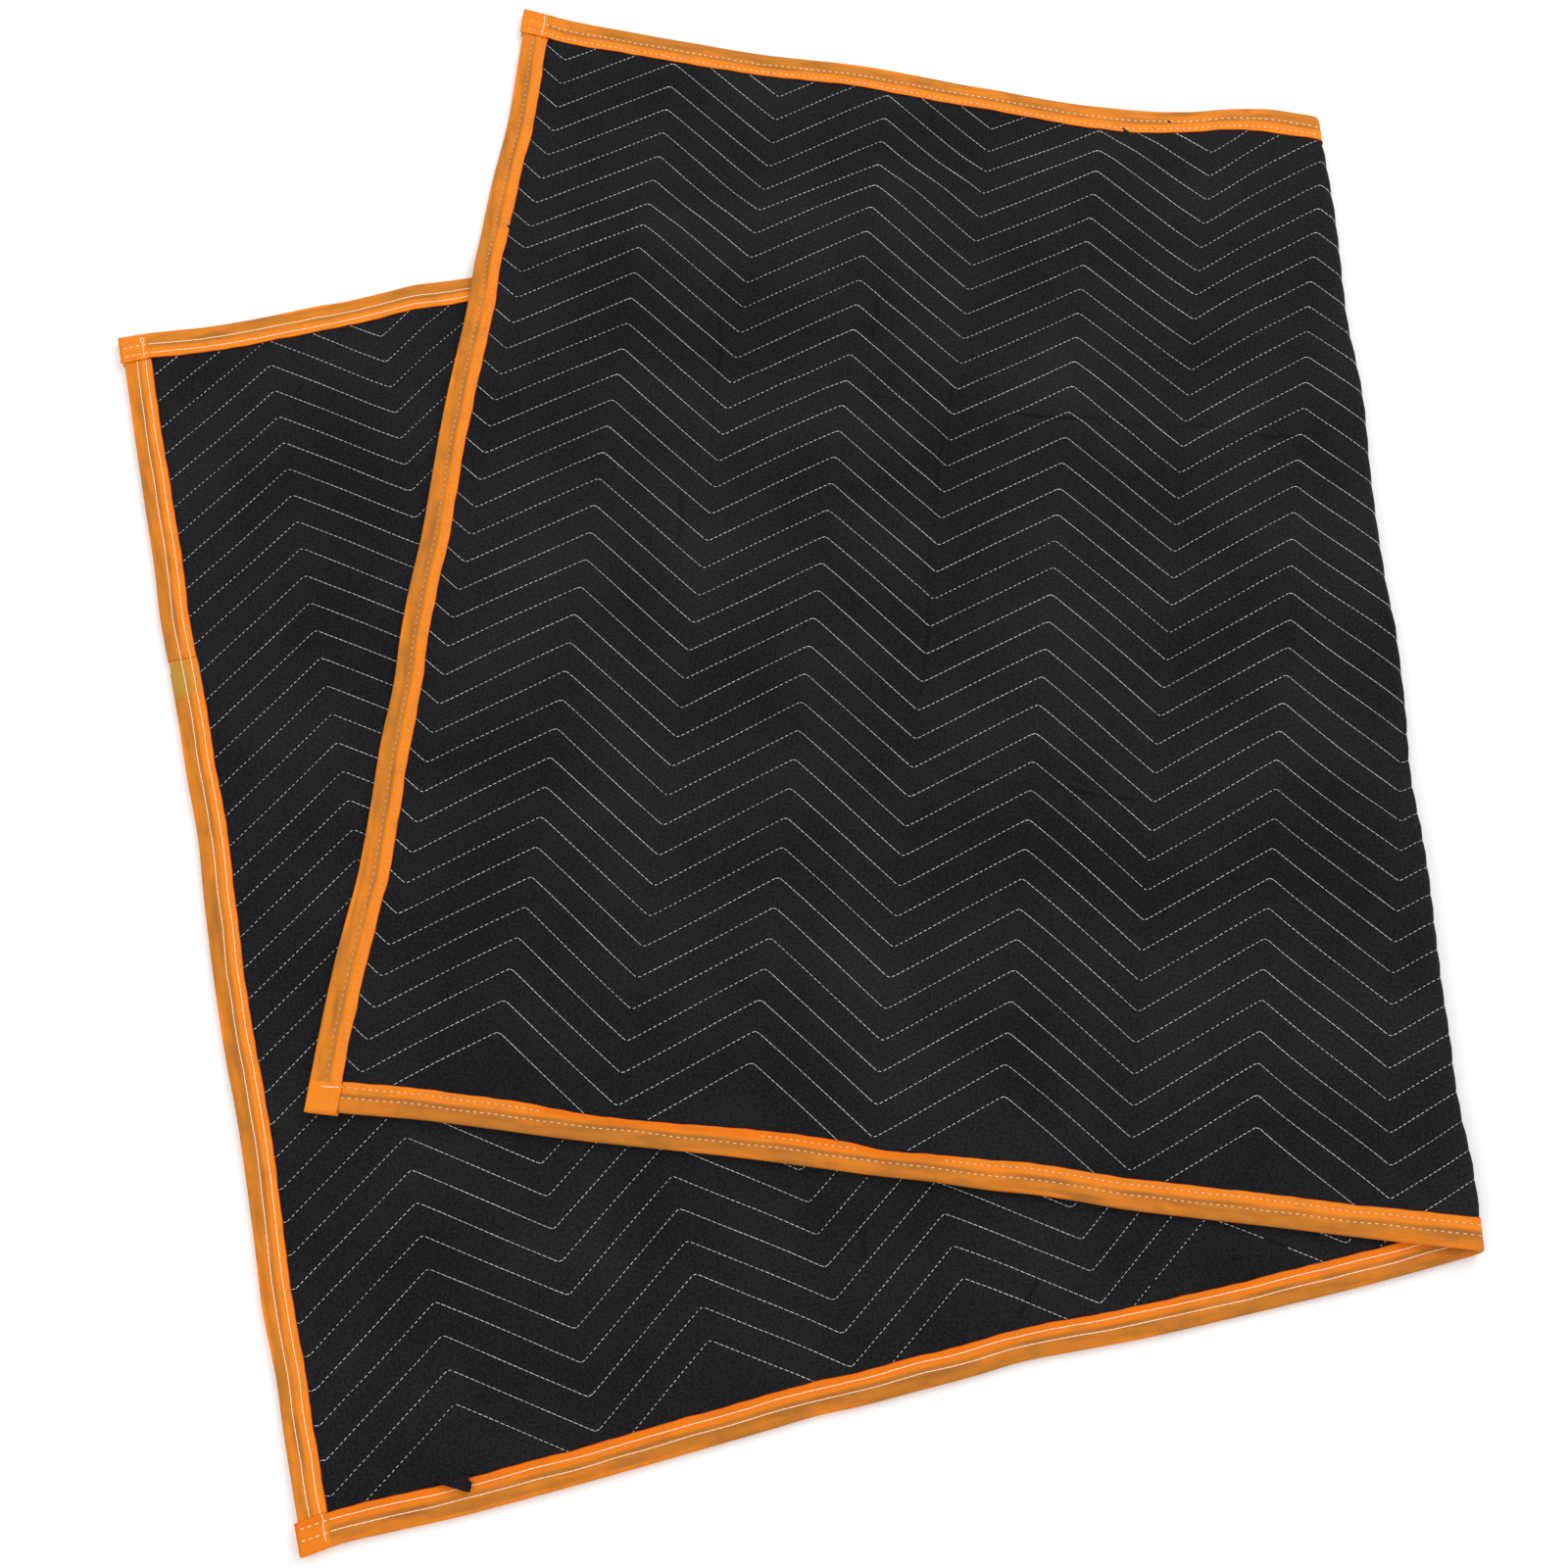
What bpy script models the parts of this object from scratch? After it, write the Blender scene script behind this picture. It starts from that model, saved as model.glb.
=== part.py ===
"""Moving pad: a black zigzag-quilted pad edged in orange tape, folded once and lying flat.

Units are metres, +Z is up, and the pad rests on the plane z = 0. The origin is under the middle
of the pad's outline.

The pad is first laid out flat, as it is cut and sewn: u runs along its length from end A to
end B, v runs across its width from the near edge to the far edge, and w is the height above the
middle of the cloth, towards face 1. The function placed() then folds that flat pad once, along a
slightly slanting line, and lays the upper half over the lower one.
"""
import math

import bmesh
import bpy
import numpy as np

# Sizes of the pad as sewn, binding included
PAD_LENGTH = 1.829
PAD_WIDTH = 1.016
CREST_HALF = 0.0028
GROOVE_HALF = 0.0019
EDGE_HALF = 0.0015
CORNER_CORE_HALF = 0.0012

# Binding tape, folded over the edge, and the gap left between sewn pieces
TAPE_WIDTH = 0.0245
TAPE_THICKNESS = 0.001
SEWN_GAP = 0.0003
TAPE_FOLD_RADIUS = 0.001
TAPE_END_OVERHANG = 0.0022

# Which tape lies over the other at each corner
TOP_TAPE = {
    ("a", "near"): "long",
    ("a", "far"): "long",
    ("b", "near"): "short",
    ("b", "far"): "long",
}

# Zigzag quilting: one row each inch, peaks towards the far edge
ROW_PITCH = 0.0254
ZIGZAG_HALF_PERIOD = 0.09825
ZIGZAG_RISE = 0.0695
FIRST_PEAK = 0.120
FIRST_SEWN_ROW = 3
LAST_SEWN_ROW = 41
PUFF_RAMP = 0.010

# Where the pad is folded, measured along its length at the near and at the far edge
FOLD_AT_NEAR_EDGE = 0.913
FOLD_AT_FAR_EDGE = 1.0974
FOLD_SKEW = math.atan((FOLD_AT_FAR_EDGE - FOLD_AT_NEAR_EDGE) / PAD_WIDTH)
FOLD_SEGMENTS = 5
SETTLE_LENGTH = 0.055
SETTLE_STEPS = (0.0, 0.3, 0.65, 1.0)

# Corners of the folded pad on the floor, x and y
BASE_NEAR_CORNER = (-0.3246, -0.6734)
BASE_FAR_CORNER = (-0.5571, 0.3292)
LAP_NEAR_CORNER = (-0.3458, -0.3465)
LAP_FAR_CORNER = (-0.2122, 0.6735)
FOLD_NEAR_END = (0.5592, -0.4556)
FOLD_FAR_END = (0.5132, 0.5487)

# Unevenness of each edge: (share of the way along it, millimetres outward from its chord)
BASE_NEAR_EDGE = (
    (0.00, 0.0), (0.07, -3.0), (0.16, -1.9), (0.26, -3.2), (0.40, -6.7), (0.50, -5.9),
    (0.60, -8.1), (0.64, -5.6), (0.69, -2.7), (0.79, -0.2), (0.90, 0.7), (1.00, 0.0),
)
BASE_FAR_EDGE = (
    (0.00, 0.0), (0.07, -3.8), (0.12, -5.3), (0.16, -3.5), (0.24, -2.0), (0.50, -1.0), (1.00, 1.5),
)
END_A_EDGE = (
    (0.00, 0.0), (0.10, 0.2), (0.18, 2.4), (0.38, 2.7), (0.50, 0.5), (0.55, -1.0), (0.64, -0.8),
    (0.74, 2.5), (0.84, 1.0), (1.00, 0.5),
)
LAP_NEAR_EDGE = (
    (0.00, 0.0), (0.12, -3.1), (0.25, -2.1), (0.50, -3.1), (0.60, -2.6), (0.74, 0.0), (1.00, 0.0),
)
LAP_FAR_EDGE = (
    (0.00, 0.0), (0.07, -6.0), (0.12, -8.5), (0.21, -11.3), (0.31, -13.0), (0.40, -10.8),
    (0.50, -12.8), (0.60, -16.3), (0.69, -19.3), (0.79, -16.5), (0.84, -11.0), (0.88, -3.0),
    (0.93, 3.0), (1.00, 1.5),
)
END_B_EDGE = (
    (0.00, 0.0), (0.07, 0.5), (0.12, -0.8), (0.21, -4.5), (0.36, -3.0), (0.42, 0.0), (0.60, 1.7),
    (0.74, 1.2), (0.88, -3.0), (1.00, 0.0),
)
FOLD_EDGE = (
    (0.00, 0.0), (0.16, -3.0), (0.26, 1.2), (0.40, -1.0), (0.50, 0.8), (0.64, 0.0), (0.72, 2.5),
    (0.79, 0.0), (0.90, 2.4), (1.00, 0.0),
)

# Radius of the fold's bulge, middle of the cloth: (share of the way from near to far, mm)
FOLD_BULGE = ((0.00, 5.2), (0.20, 6.4), (0.45, 5.6), (0.75, 6.6), (1.00, 5.4))

# Height of the middle of the upper layer: (mm past the lower layer's far edge, mm up)
DRAPE = (
    (-60.0, 9.3), (-12.0, 10.4), (5.0, 10.3), (20.0, 7.2), (36.0, 3.7), (52.0, 2.8),
)

# Soft humps in the upper layer: x and y in metres, radius and height in millimetres
HUMPS = (
    (0.025, 0.234, 85, 2.0),
    (0.413, 0.348, 80, 2.6),
    (0.298, 0.281, 70, 1.6),
    (-0.048, 0.026, 75, 2.0),
    (-0.178, -0.215, 90, 2.4),
    (0.427, -0.051, 95, 2.8),
    (0.091, 0.088, 80, 1.6),
    (0.348, -0.294, 105, 2.6),
)

# How far the cloth lifts around each thick corner, and the spacing of sections along a tape
CORNER_SPREAD = 0.050
TAPE_STEP = 0.055

# Distances below which two points of a mesh count as one, and a point counts as on a line
SAME_POINT = 0.0001
ON_LINE = 0.00001
EDGE_SAMPLES = 400
SHARP_ANGLE = math.radians(40.0)

BLACK_CLOTH = (0.020, 0.020, 0.024)
ORANGE_TAPE = (0.90, 0.28, 0.035)


def clear_scene():
    """Remove every object that the file starts with."""
    for item in list(bpy.data.objects):
        bpy.data.objects.remove(item, do_unlink=True)


def cloth_material(name, colour, roughness):
    """Plain cloth material with one colour."""
    material = bpy.data.materials.new(name)
    material.use_nodes = True
    shader = material.node_tree.nodes["Principled BSDF"]
    shader.inputs["Base Color"].default_value = (*colour, 1.0)
    shader.inputs["Roughness"].default_value = roughness
    shader.inputs["Metallic"].default_value = 0.0
    return material


def smooth_step(share):
    """Ease from 0 to 1 while share goes from 0 to 1."""
    share = np.clip(share, 0.0, 1.0)
    return share * share * (3.0 - 2.0 * share)


def read_table(table, share):
    """Second column of a table in millimetres, read at share, as metres."""
    columns = np.array(table)
    return np.interp(share, columns[:, 0], columns[:, 1]) / 1000.0


def fold_at(v):
    """Place of the fold along the length, at v across the width."""
    return FOLD_AT_NEAR_EDGE + (FOLD_AT_FAR_EDGE - FOLD_AT_NEAR_EDGE) * v / PAD_WIDTH


def edge_normal(start, end, inside):
    """Unit vector on the floor square to an edge and away from a point inside the outline."""
    run = np.subtract(end, start)
    normal = np.array((run[1], -run[0])) / np.hypot(*run)
    return normal if np.dot(normal, np.subtract(start, inside)) > 0 else -normal


def straight_patch(run, across, near, far):
    """Point of a layer with straight edges: run is 0 at its free end, across 0 at its near edge."""
    run = run[:, None]
    across = across[:, None]
    near_point = (1 - run) * np.array(near[0]) + run * np.array(near[1])
    far_point = (1 - run) * np.array(far[0]) + run * np.array(far[1])
    return (1 - across) * near_point + across * far_point


def unevenness(shares, across, near, far, tables):
    """Shift of a point by its layer's uneven edges, fading with the square of the distance.

    shares are the shares of the way to the fold counted along the near edge, along the far edge
    and at the point itself.
    """
    near_table, far_table, end_table = tables
    near_share, far_share, run = (share[:, None] for share in shares)
    across = across[:, None]
    middle = np.mean((*near, *far), axis=0)
    shift = (1 - across) ** 2 * read_table(near_table, near_share) * edge_normal(*near, middle)
    shift += across ** 2 * read_table(far_table, far_share) * edge_normal(*far, middle)
    shift += (1 - run) ** 2 * read_table(end_table, across) * edge_normal(near[0], far[0], middle)
    shift += run ** 2 * read_table(FOLD_EDGE, across) * edge_normal(near[1], far[1], middle)
    return shift


def base_ground(u, v, inward):
    """Floor position of the lower layer, moved inward from the fold."""
    near = (BASE_NEAR_CORNER, FOLD_NEAR_END)
    far = (BASE_FAR_CORNER, FOLD_FAR_END)
    tables = (BASE_NEAR_EDGE, BASE_FAR_EDGE, END_A_EDGE)
    moved_u = u - inward * math.cos(FOLD_SKEW)
    moved_v = v + inward * math.sin(FOLD_SKEW)
    point = straight_patch(moved_u / fold_at(moved_v), moved_v / PAD_WIDTH, near, far)
    shares = (u / FOLD_AT_NEAR_EDGE, u / FOLD_AT_FAR_EDGE, np.clip(u / fold_at(v), 0.0, 1.0))
    return point + unevenness(shares, v / PAD_WIDTH, near, far, tables)


def lap_ground(u, v, inward):
    """Floor position of the upper layer, moved inward from the fold."""
    near = (LAP_NEAR_CORNER, FOLD_NEAR_END)
    far = (LAP_FAR_CORNER, FOLD_FAR_END)
    tables = (LAP_NEAR_EDGE, LAP_FAR_EDGE, END_B_EDGE)
    moved_u = u + inward * math.cos(FOLD_SKEW)
    moved_v = v - inward * math.sin(FOLD_SKEW)
    run = (PAD_LENGTH - moved_u) / (PAD_LENGTH - fold_at(moved_v))
    point = straight_patch(run, moved_v / PAD_WIDTH, near, far)
    from_end = PAD_LENGTH - u
    shares = (
        from_end / (PAD_LENGTH - FOLD_AT_NEAR_EDGE),
        from_end / (PAD_LENGTH - FOLD_AT_FAR_EDGE),
        np.clip(from_end / (PAD_LENGTH - fold_at(v)), 0.0, 1.0),
    )
    return point + unevenness(shares, v / PAD_WIDTH, near, far, tables)


def base_edge_on_lap():
    """The lower layer's far edge seen on the flat upper layer: a point and a unit normal."""
    v = np.linspace(0.0, PAD_WIDTH, EDGE_SAMPLES)
    free_end = lap_ground(np.full_like(v, PAD_LENGTH), v, 0.0)
    start = np.array(BASE_FAR_CORNER)
    run = np.subtract(FOLD_FAR_END, start)
    past_edge = (free_end - start) @ np.array((-run[1], run[0]))
    crossing = np.array((PAD_LENGTH, np.interp(0.0, past_edge, v)))
    along = np.array((FOLD_AT_FAR_EDGE, PAD_WIDTH)) - crossing
    return crossing, np.array((along[1], -along[0])) / np.hypot(*along)


def drape_height(u, v):
    """Height of the middle of the upper layer where it has settled."""
    crossing, normal = base_edge_on_lap()
    past_edge = (u - crossing[0]) * normal[0] + (v - crossing[1]) * normal[1]
    distances, heights = np.array(DRAPE).T / 1000.0
    return np.interp(past_edge, distances, heights)


def hump_height(point):
    """Sum of the soft humps at floor points."""
    height = np.zeros(len(point))
    for x, y, radius, peak in HUMPS:
        distance = np.hypot(point[:, 0] - x, point[:, 1] - y)
        height += peak / 1000.0 * smooth_step(1.0 - distance / (radius / 1000.0))
    return height


def edge_distance(u, v):
    """Distances of flat points from the nearer end and from the nearer long edge."""
    return np.minimum(u, PAD_LENGTH - u), np.minimum(v, PAD_WIDTH - v)


def fade(distance, spread):
    """1 up to where the pad comes out of the tape, falling evenly to 0 over the spread."""
    return np.clip(1.0 - (distance - tape_inner_edge()) / spread, 0.0, 1.0)


def corner_share(u, v, spread):
    """1 in the four corner squares, falling to 0 over the spread."""
    from_end, from_side = edge_distance(u, v)
    return fade(from_end, spread) * fade(from_side, spread)


def corner_half():
    """Half thickness of the outer tape where two tapes lie over the corner of the pad."""
    return CORNER_CORE_HALF + 2.0 * (SEWN_GAP + TAPE_THICKNESS)


def bend_radius():
    """Mean radius of the fold's bulge."""
    return np.mean([row[1] for row in FOLD_BULGE]) / 1000.0


def bend_turns():
    """Angles of the flat facets that carry the cloth round the fold."""
    return np.linspace(-0.5 * math.pi, 0.5 * math.pi, FOLD_SEGMENTS + 1)


def placed(u, v, w):
    """Fold the flat pad: positions of points (u, v, w) in the room.

    Each point keeps its distance along the fold. Square to the fold the cloth runs flat, goes
    round a half circle of the bulge radius, and settles back onto the lower layer.
    """
    past_fold = (u - fold_at(v)) * math.cos(FOLD_SKEW)
    radius = read_table(FOLD_BULGE, v / PAD_WIDTH)
    turns = bend_turns()
    bends = turns * bend_radius()
    cosine = np.interp(past_fold, bends, np.cos(turns))
    sine = np.interp(past_fold, bends, np.sin(turns))
    beyond = np.maximum(np.abs(past_fold) - bends[-1], 0.0)
    reach = CREST_HALF + radius * (1.0 - cosine) + beyond

    base = base_ground(u, v, reach + past_fold)
    lap = lap_ground(u, v, reach - past_fold)
    blend = np.clip(0.5 + 0.5 * past_fold / bends[-1], 0.0, 1.0)[:, None]
    point = base * (1.0 - blend) + lap * blend

    level = drape_height(u, v) + hump_height(point)
    top = CREST_HALF + 2.0 * radius
    steps = np.array(SETTLE_STEPS)
    settled = np.interp(beyond / SETTLE_LENGTH, steps, smooth_step(steps)) * (past_fold > 0.0)
    height = CREST_HALF + radius * (1.0 + sine) + settled * (level - top)
    height += (corner_half() - CREST_HALF) * corner_share(u, v, CORNER_SPREAD)

    middle = np.mean((BASE_NEAR_CORNER, BASE_FAR_CORNER), axis=0)
    outward = edge_normal(FOLD_NEAR_END, FOLD_FAR_END, middle)
    point = point - (w * cosine)[:, None] * outward
    return np.column_stack((point, height - w * sine))


def zigzag(u):
    """0 at the peaks of the quilting and 1 at its valleys."""
    turn = np.mod((u - FIRST_PEAK) / ZIGZAG_HALF_PERIOD, 2.0)
    return np.minimum(turn, 2.0 - turn)


def puff_half(u, v):
    """Half thickness of the pad: low on the sewn rows, thin under the tape."""
    row = (v + ZIGZAG_RISE * zigzag(u)) / ROW_PITCH
    nearest = np.round(row)
    sewn = (nearest >= FIRST_SEWN_ROW) & (nearest <= LAST_SEWN_ROW)
    share = np.where(sewn, np.abs(row - nearest) / 0.5, 1.0)
    puff = GROOVE_HALF + (CREST_HALF - GROOVE_HALF) * share
    inset = np.minimum(*edge_distance(u, v)) - tape_inner_edge()
    edge = EDGE_HALF + (CORNER_CORE_HALF - EDGE_HALF) * corner_share(u, v, PUFF_RAMP)
    return edge + (puff - edge) * np.clip(inset / PUFF_RAMP, 0.0, 1.0)


def tape_inner_edge():
    """Distance from the pad's outer edge to where the pad comes out of the tape."""
    return TAPE_WIDTH + 2.0 * TAPE_THICKNESS


def underside_half(u, v):
    """Half thickness of face 2: flat where it rests on the floor, quilted past the fold."""
    past_fold = (u - fold_at(v)) * math.cos(FOLD_SKEW)
    lifted = smooth_step(past_fold / bend_radius() + 0.5 * math.pi)
    inset = np.minimum(*edge_distance(u, v)) - tape_inner_edge()
    edge = EDGE_HALF + (CORNER_CORE_HALF - EDGE_HALF) * corner_share(u, v, PUFF_RAMP)
    flat = edge + (CREST_HALF - edge) * np.clip(inset / PUFF_RAMP, 0.0, 1.0)
    return flat + (puff_half(u, v) - flat) * lifted


def drape_cut_lines():
    """Lines of the flat pad along which the upper layer bends over the lower one's far edge."""
    crossing, normal = base_edge_on_lap()
    for distance, _ in DRAPE:
        yield crossing + normal * distance / 1000.0, normal


def fold_cut_lines():
    """Lines of the flat pad along the fold, where the cloth bends and settles."""
    bends = bend_turns() * bend_radius()
    settling = bends[-1] + SETTLE_LENGTH * np.array(SETTLE_STEPS[1:])
    normal = np.array((math.cos(FOLD_SKEW), -math.sin(FOLD_SKEW)))
    for distance in (*bends, *settling):
        yield np.array((FOLD_AT_NEAR_EDGE, 0.0)) + normal * distance, normal


def border_lines(inset):
    """The four lines that run inside the pad's outline at a distance from it."""
    yield np.array((inset, 0.0)), np.array((-1.0, 0.0))
    yield np.array((PAD_LENGTH - inset, 0.0)), np.array((1.0, 0.0))
    yield np.array((0.0, inset)), np.array((0.0, -1.0))
    yield np.array((0.0, PAD_WIDTH - inset)), np.array((0.0, 1.0))


def cut_sheet(bm, line, trim=False, where=None):
    """Cut the flat sheet along a line, only where asked, and drop what is past a trimming line."""
    point, normal = line
    faces = bm.faces[:]
    if where is not None:
        middles = [(face, face.calc_center_bounds()) for face in faces]
        faces = [face for face, middle in middles if where(middle.x, middle.y)]
    edges = {edge for face in faces for edge in face.edges}
    verts = {vert for face in faces for vert in face.verts}
    bmesh.ops.bisect_plane(
        bm,
        geom=[*verts, *edges, *faces],
        dist=ON_LINE,
        plane_co=(*point, 0.0),
        plane_no=(*normal, 0.0),
        clear_outer=trim,
    )


def on_lap(u, v):
    """True past the fold."""
    return u > fold_at(v)


def cut_under_tapes(bm):
    """Give the pad a section at each station of the tapes that grip it."""
    inner = tape_inner_edge()
    sides = (("near", lambda u, v: v < inner), ("far", lambda u, v: v > PAD_WIDTH - inner))
    ends = (("a", lambda u, v: u < inner), ("b", lambda u, v: u > PAD_LENGTH - inner))
    for side, under_tape in sides:
        for station in long_stations(side)[0]:
            cut_sheet(bm, ((station, 0.0), (1.0, 0.0)), where=under_tape)
    for end, under_tape in ends:
        for station in short_stations(end)[0]:
            cut_sheet(bm, ((0.0, station), (0.0, 1.0)), where=under_tape)


def add_frame(bm):
    """Add the plain strip that lies under the tapes: one mitred face along each side."""
    inner = tape_inner_edge()
    rim = TAPE_THICKNESS + SEWN_GAP
    far_u, far_v = PAD_LENGTH - inner, PAD_WIDTH - inner
    corners = [
        bm.verts.new((rim, rim, 0.0)),
        bm.verts.new((PAD_LENGTH - rim, rim, 0.0)),
        bm.verts.new((PAD_LENGTH - rim, PAD_WIDTH - rim, 0.0)),
        bm.verts.new((rim, PAD_WIDTH - rim, 0.0)),
    ]
    boundary = {vert for edge in bm.edges if edge.is_boundary for vert in edge.verts}
    sides = (
        sorted((vert for vert in boundary if abs(vert.co.y - inner) < ON_LINE),
               key=lambda vert: vert.co.x),
        sorted((vert for vert in boundary if abs(vert.co.x - far_u) < ON_LINE),
               key=lambda vert: vert.co.y),
        sorted((vert for vert in boundary if abs(vert.co.y - far_v) < ON_LINE),
               key=lambda vert: -vert.co.x),
        sorted((vert for vert in boundary if abs(vert.co.x - inner) < ON_LINE),
               key=lambda vert: -vert.co.y),
    )
    for k, side in enumerate(sides):
        bm.faces.new((corners[k], corners[(k + 1) % 4], *reversed(side)))


def flat_sheet():
    """Flat sheet with rows on the quilting, cut wherever it will bend, as points and triangles."""
    first_column = math.floor(-FIRST_PEAK / ZIGZAG_HALF_PERIOD)
    last_column = math.ceil((PAD_LENGTH - FIRST_PEAK) / ZIGZAG_HALF_PERIOD)
    columns = FIRST_PEAK + ZIGZAG_HALF_PERIOD * np.arange(first_column, last_column + 1)
    row_count = math.ceil((PAD_WIDTH + ZIGZAG_RISE) / (ROW_PITCH / 2.0))
    rows = ROW_PITCH / 2.0 * np.arange(row_count + 1)

    bm = bmesh.new()
    grid = [[bm.verts.new((u, row - ZIGZAG_RISE * zigzag(u), 0.0)) for row in rows]
            for u in columns]
    for left, right in zip(grid[:-1], grid[1:]):
        for k in range(row_count):
            bm.faces.new((left[k], right[k], right[k + 1], left[k + 1]))

    for line in border_lines(tape_inner_edge()):
        cut_sheet(bm, line, trim=True)
    add_frame(bm)
    for line in fold_cut_lines():
        cut_sheet(bm, line)
    for line in drape_cut_lines():
        cut_sheet(bm, line, where=on_lap)
    cut_under_tapes(bm)
    bmesh.ops.remove_doubles(bm, verts=bm.verts[:], dist=SAME_POINT)
    bmesh.ops.triangulate(bm, faces=bm.faces[:])
    bm.verts.ensure_lookup_table()
    bm.verts.index_update()
    points = np.array([vert.co[:2] for vert in bm.verts])
    triangles = [tuple(vert.index for vert in face.verts) for face in bm.faces]
    walls = []
    for edge in bm.edges:
        if edge.is_boundary:
            loop = edge.link_loops[0]
            walls.append((loop.vert.index, loop.link_loop_next.vert.index))
    bm.free()
    return points, triangles, walls


def add_object(name, points, faces, material):
    """Closed mesh object with outward faces."""
    mesh = bpy.data.meshes.new(name)
    mesh.from_pydata([tuple(point) for point in points], [], faces)
    bm = bmesh.new()
    bm.from_mesh(mesh)
    bmesh.ops.recalc_face_normals(bm, faces=bm.faces[:])
    bmesh.ops.triangulate(bm, faces=bm.faces[:])
    bm.to_mesh(mesh)
    bm.free()
    mesh.materials.append(material)
    mesh.shade_smooth()
    mesh.set_sharp_from_angle(angle=SHARP_ANGLE)
    item = bpy.data.objects.new(name, mesh)
    bpy.context.scene.collection.objects.link(item)
    return item


def thin_out_underside(item):
    """Merge the triangles of the face that lies flat on the floor."""
    bm = bmesh.new()
    bm.from_mesh(item.data)
    floor = [face for face in bm.faces if max(vert.co.z for vert in face.verts) < ON_LINE]
    bmesh.ops.dissolve_faces(bm, faces=floor, use_verts=False)
    bmesh.ops.triangulate(bm, faces=bm.faces[:])
    bm.to_mesh(item.data)
    bm.free()


def build_pad(material):
    """The quilted pad: two quilted faces joined by a rim, folded with the rest."""
    points, triangles, walls = flat_sheet()
    u, v = points.T
    face_1 = placed(u, v, puff_half(u, v))
    face_2 = placed(u, v, -underside_half(u, v))
    count = len(points)
    faces = list(triangles)
    faces += [tuple(index + count for index in reversed(face)) for face in triangles]
    faces += [(second, first, first + count, second + count) for first, second in walls]
    item = add_object("quilted_pad", np.vstack((face_1, face_2)), faces, material)
    thin_out_underside(item)
    return item


def tape_profile(outer_half):
    """Section of a tape folded over an edge: points (depth from the edge, height)."""
    inner_half = outer_half - TAPE_THICKNESS
    corner = TAPE_FOLD_RADIUS
    upper = (
        (TAPE_WIDTH, inner_half),
        (TAPE_WIDTH, outer_half),
        (corner, outer_half),
        (0.0, outer_half - corner),
    )
    lower = tuple((depth, -height) for depth, height in reversed(upper))
    inside = ((TAPE_THICKNESS, -inner_half), (TAPE_THICKNESS, inner_half))
    return upper + lower + inside


def build_tape(name, stations, halves, to_flat, material):
    """A tape: its section swept along the stations, cut at the bends, then folded with the pad."""
    bm = bmesh.new()
    rings = []
    for station, half in zip(stations, halves):
        ring = [bm.verts.new((*to_flat(station, depth), height))
                for depth, height in tape_profile(half)]
        rings.append(ring)
    for ring, following in zip(rings[:-1], rings[1:]):
        for k in range(len(ring)):
            bm.faces.new((ring[k - 1], ring[k], following[k], following[k - 1]))
    bm.faces.new(rings[0])
    bm.faces.new(rings[-1])
    for line in fold_cut_lines():
        cut_sheet(bm, line)
    for line in drape_cut_lines():
        cut_sheet(bm, line, where=on_lap)
    bmesh.ops.remove_doubles(bm, verts=bm.verts[:], dist=SAME_POINT)
    bmesh.ops.triangulate(bm, faces=bm.faces[:])
    bm.verts.index_update()
    u, v, w = np.array([vert.co for vert in bm.verts]).T
    faces = [tuple(vert.index for vert in face.verts) for face in bm.faces]
    bm.free()
    return add_object(name, placed(u, v, w), faces, material)


def merge_stations(start, end, length, bends, tables):
    """Sorted stations along a tape: its bends, its edge's unevenness, its corners and a step."""
    corner = tape_inner_edge() + np.array((0.0, PUFF_RAMP, CORNER_SPREAD))
    must = [start, end, *corner, *(length - corner), *bends, *tables]
    stations = []
    for station in sorted(must):
        if start <= station <= end and (not stations or station - stations[-1] > SAME_POINT):
            stations.append(station)
    filled = [stations[0]]
    for station in stations[1:]:
        parts = math.ceil((station - filled[-1]) / TAPE_STEP)
        filled.extend(np.linspace(filled[-1], station, parts + 1)[1:])
    return np.array(filled)


def tape_halves(stations, length, at_start, at_end):
    """Half thickness along a tape, changing to the given values at its two corners."""
    halves = np.full_like(stations, CREST_HALF)
    halves += (at_start - CREST_HALF) * fade(stations, PUFF_RAMP)
    halves += (at_end - CREST_HALF) * fade(length - stations, PUFF_RAMP)
    return halves


def tucked_half():
    """Half thickness of a tape where it lies under another one."""
    return CORNER_CORE_HALF + SEWN_GAP + TAPE_THICKNESS


def tape_end(kind, end_name, side):
    """Place of a tape's cut end, inward from the pad's edge, and its half thickness there."""
    if TOP_TAPE[end_name, side] == kind:
        return -TAPE_END_OVERHANG, corner_half()
    return TAPE_THICKNESS + SEWN_GAP, tucked_half()


def long_stations(side):
    """Stations and half thicknesses of a long tape, along the near or the far edge."""
    v = 0.0 if side == "near" else PAD_WIDTH
    lines = list(fold_cut_lines())
    if side == "far":
        lines += list(drape_cut_lines())
    bends = [point[0] - (v - point[1]) * normal[1] / normal[0] for point, normal in lines]
    base_table, lap_table = BASE_NEAR_EDGE, LAP_NEAR_EDGE
    if side == "far":
        base_table, lap_table = BASE_FAR_EDGE, LAP_FAR_EDGE
    fold = fold_at(v)
    kinks = [share * fold for share, _ in base_table]
    kinks += [PAD_LENGTH - share * (PAD_LENGTH - fold) for share, _ in lap_table]
    start, half_at_a = tape_end("long", "a", side)
    end, half_at_b = tape_end("long", "b", side)
    stations = merge_stations(start, PAD_LENGTH - end, PAD_LENGTH, bends, kinks)
    return stations, tape_halves(stations, PAD_LENGTH, half_at_a, half_at_b)


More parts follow.
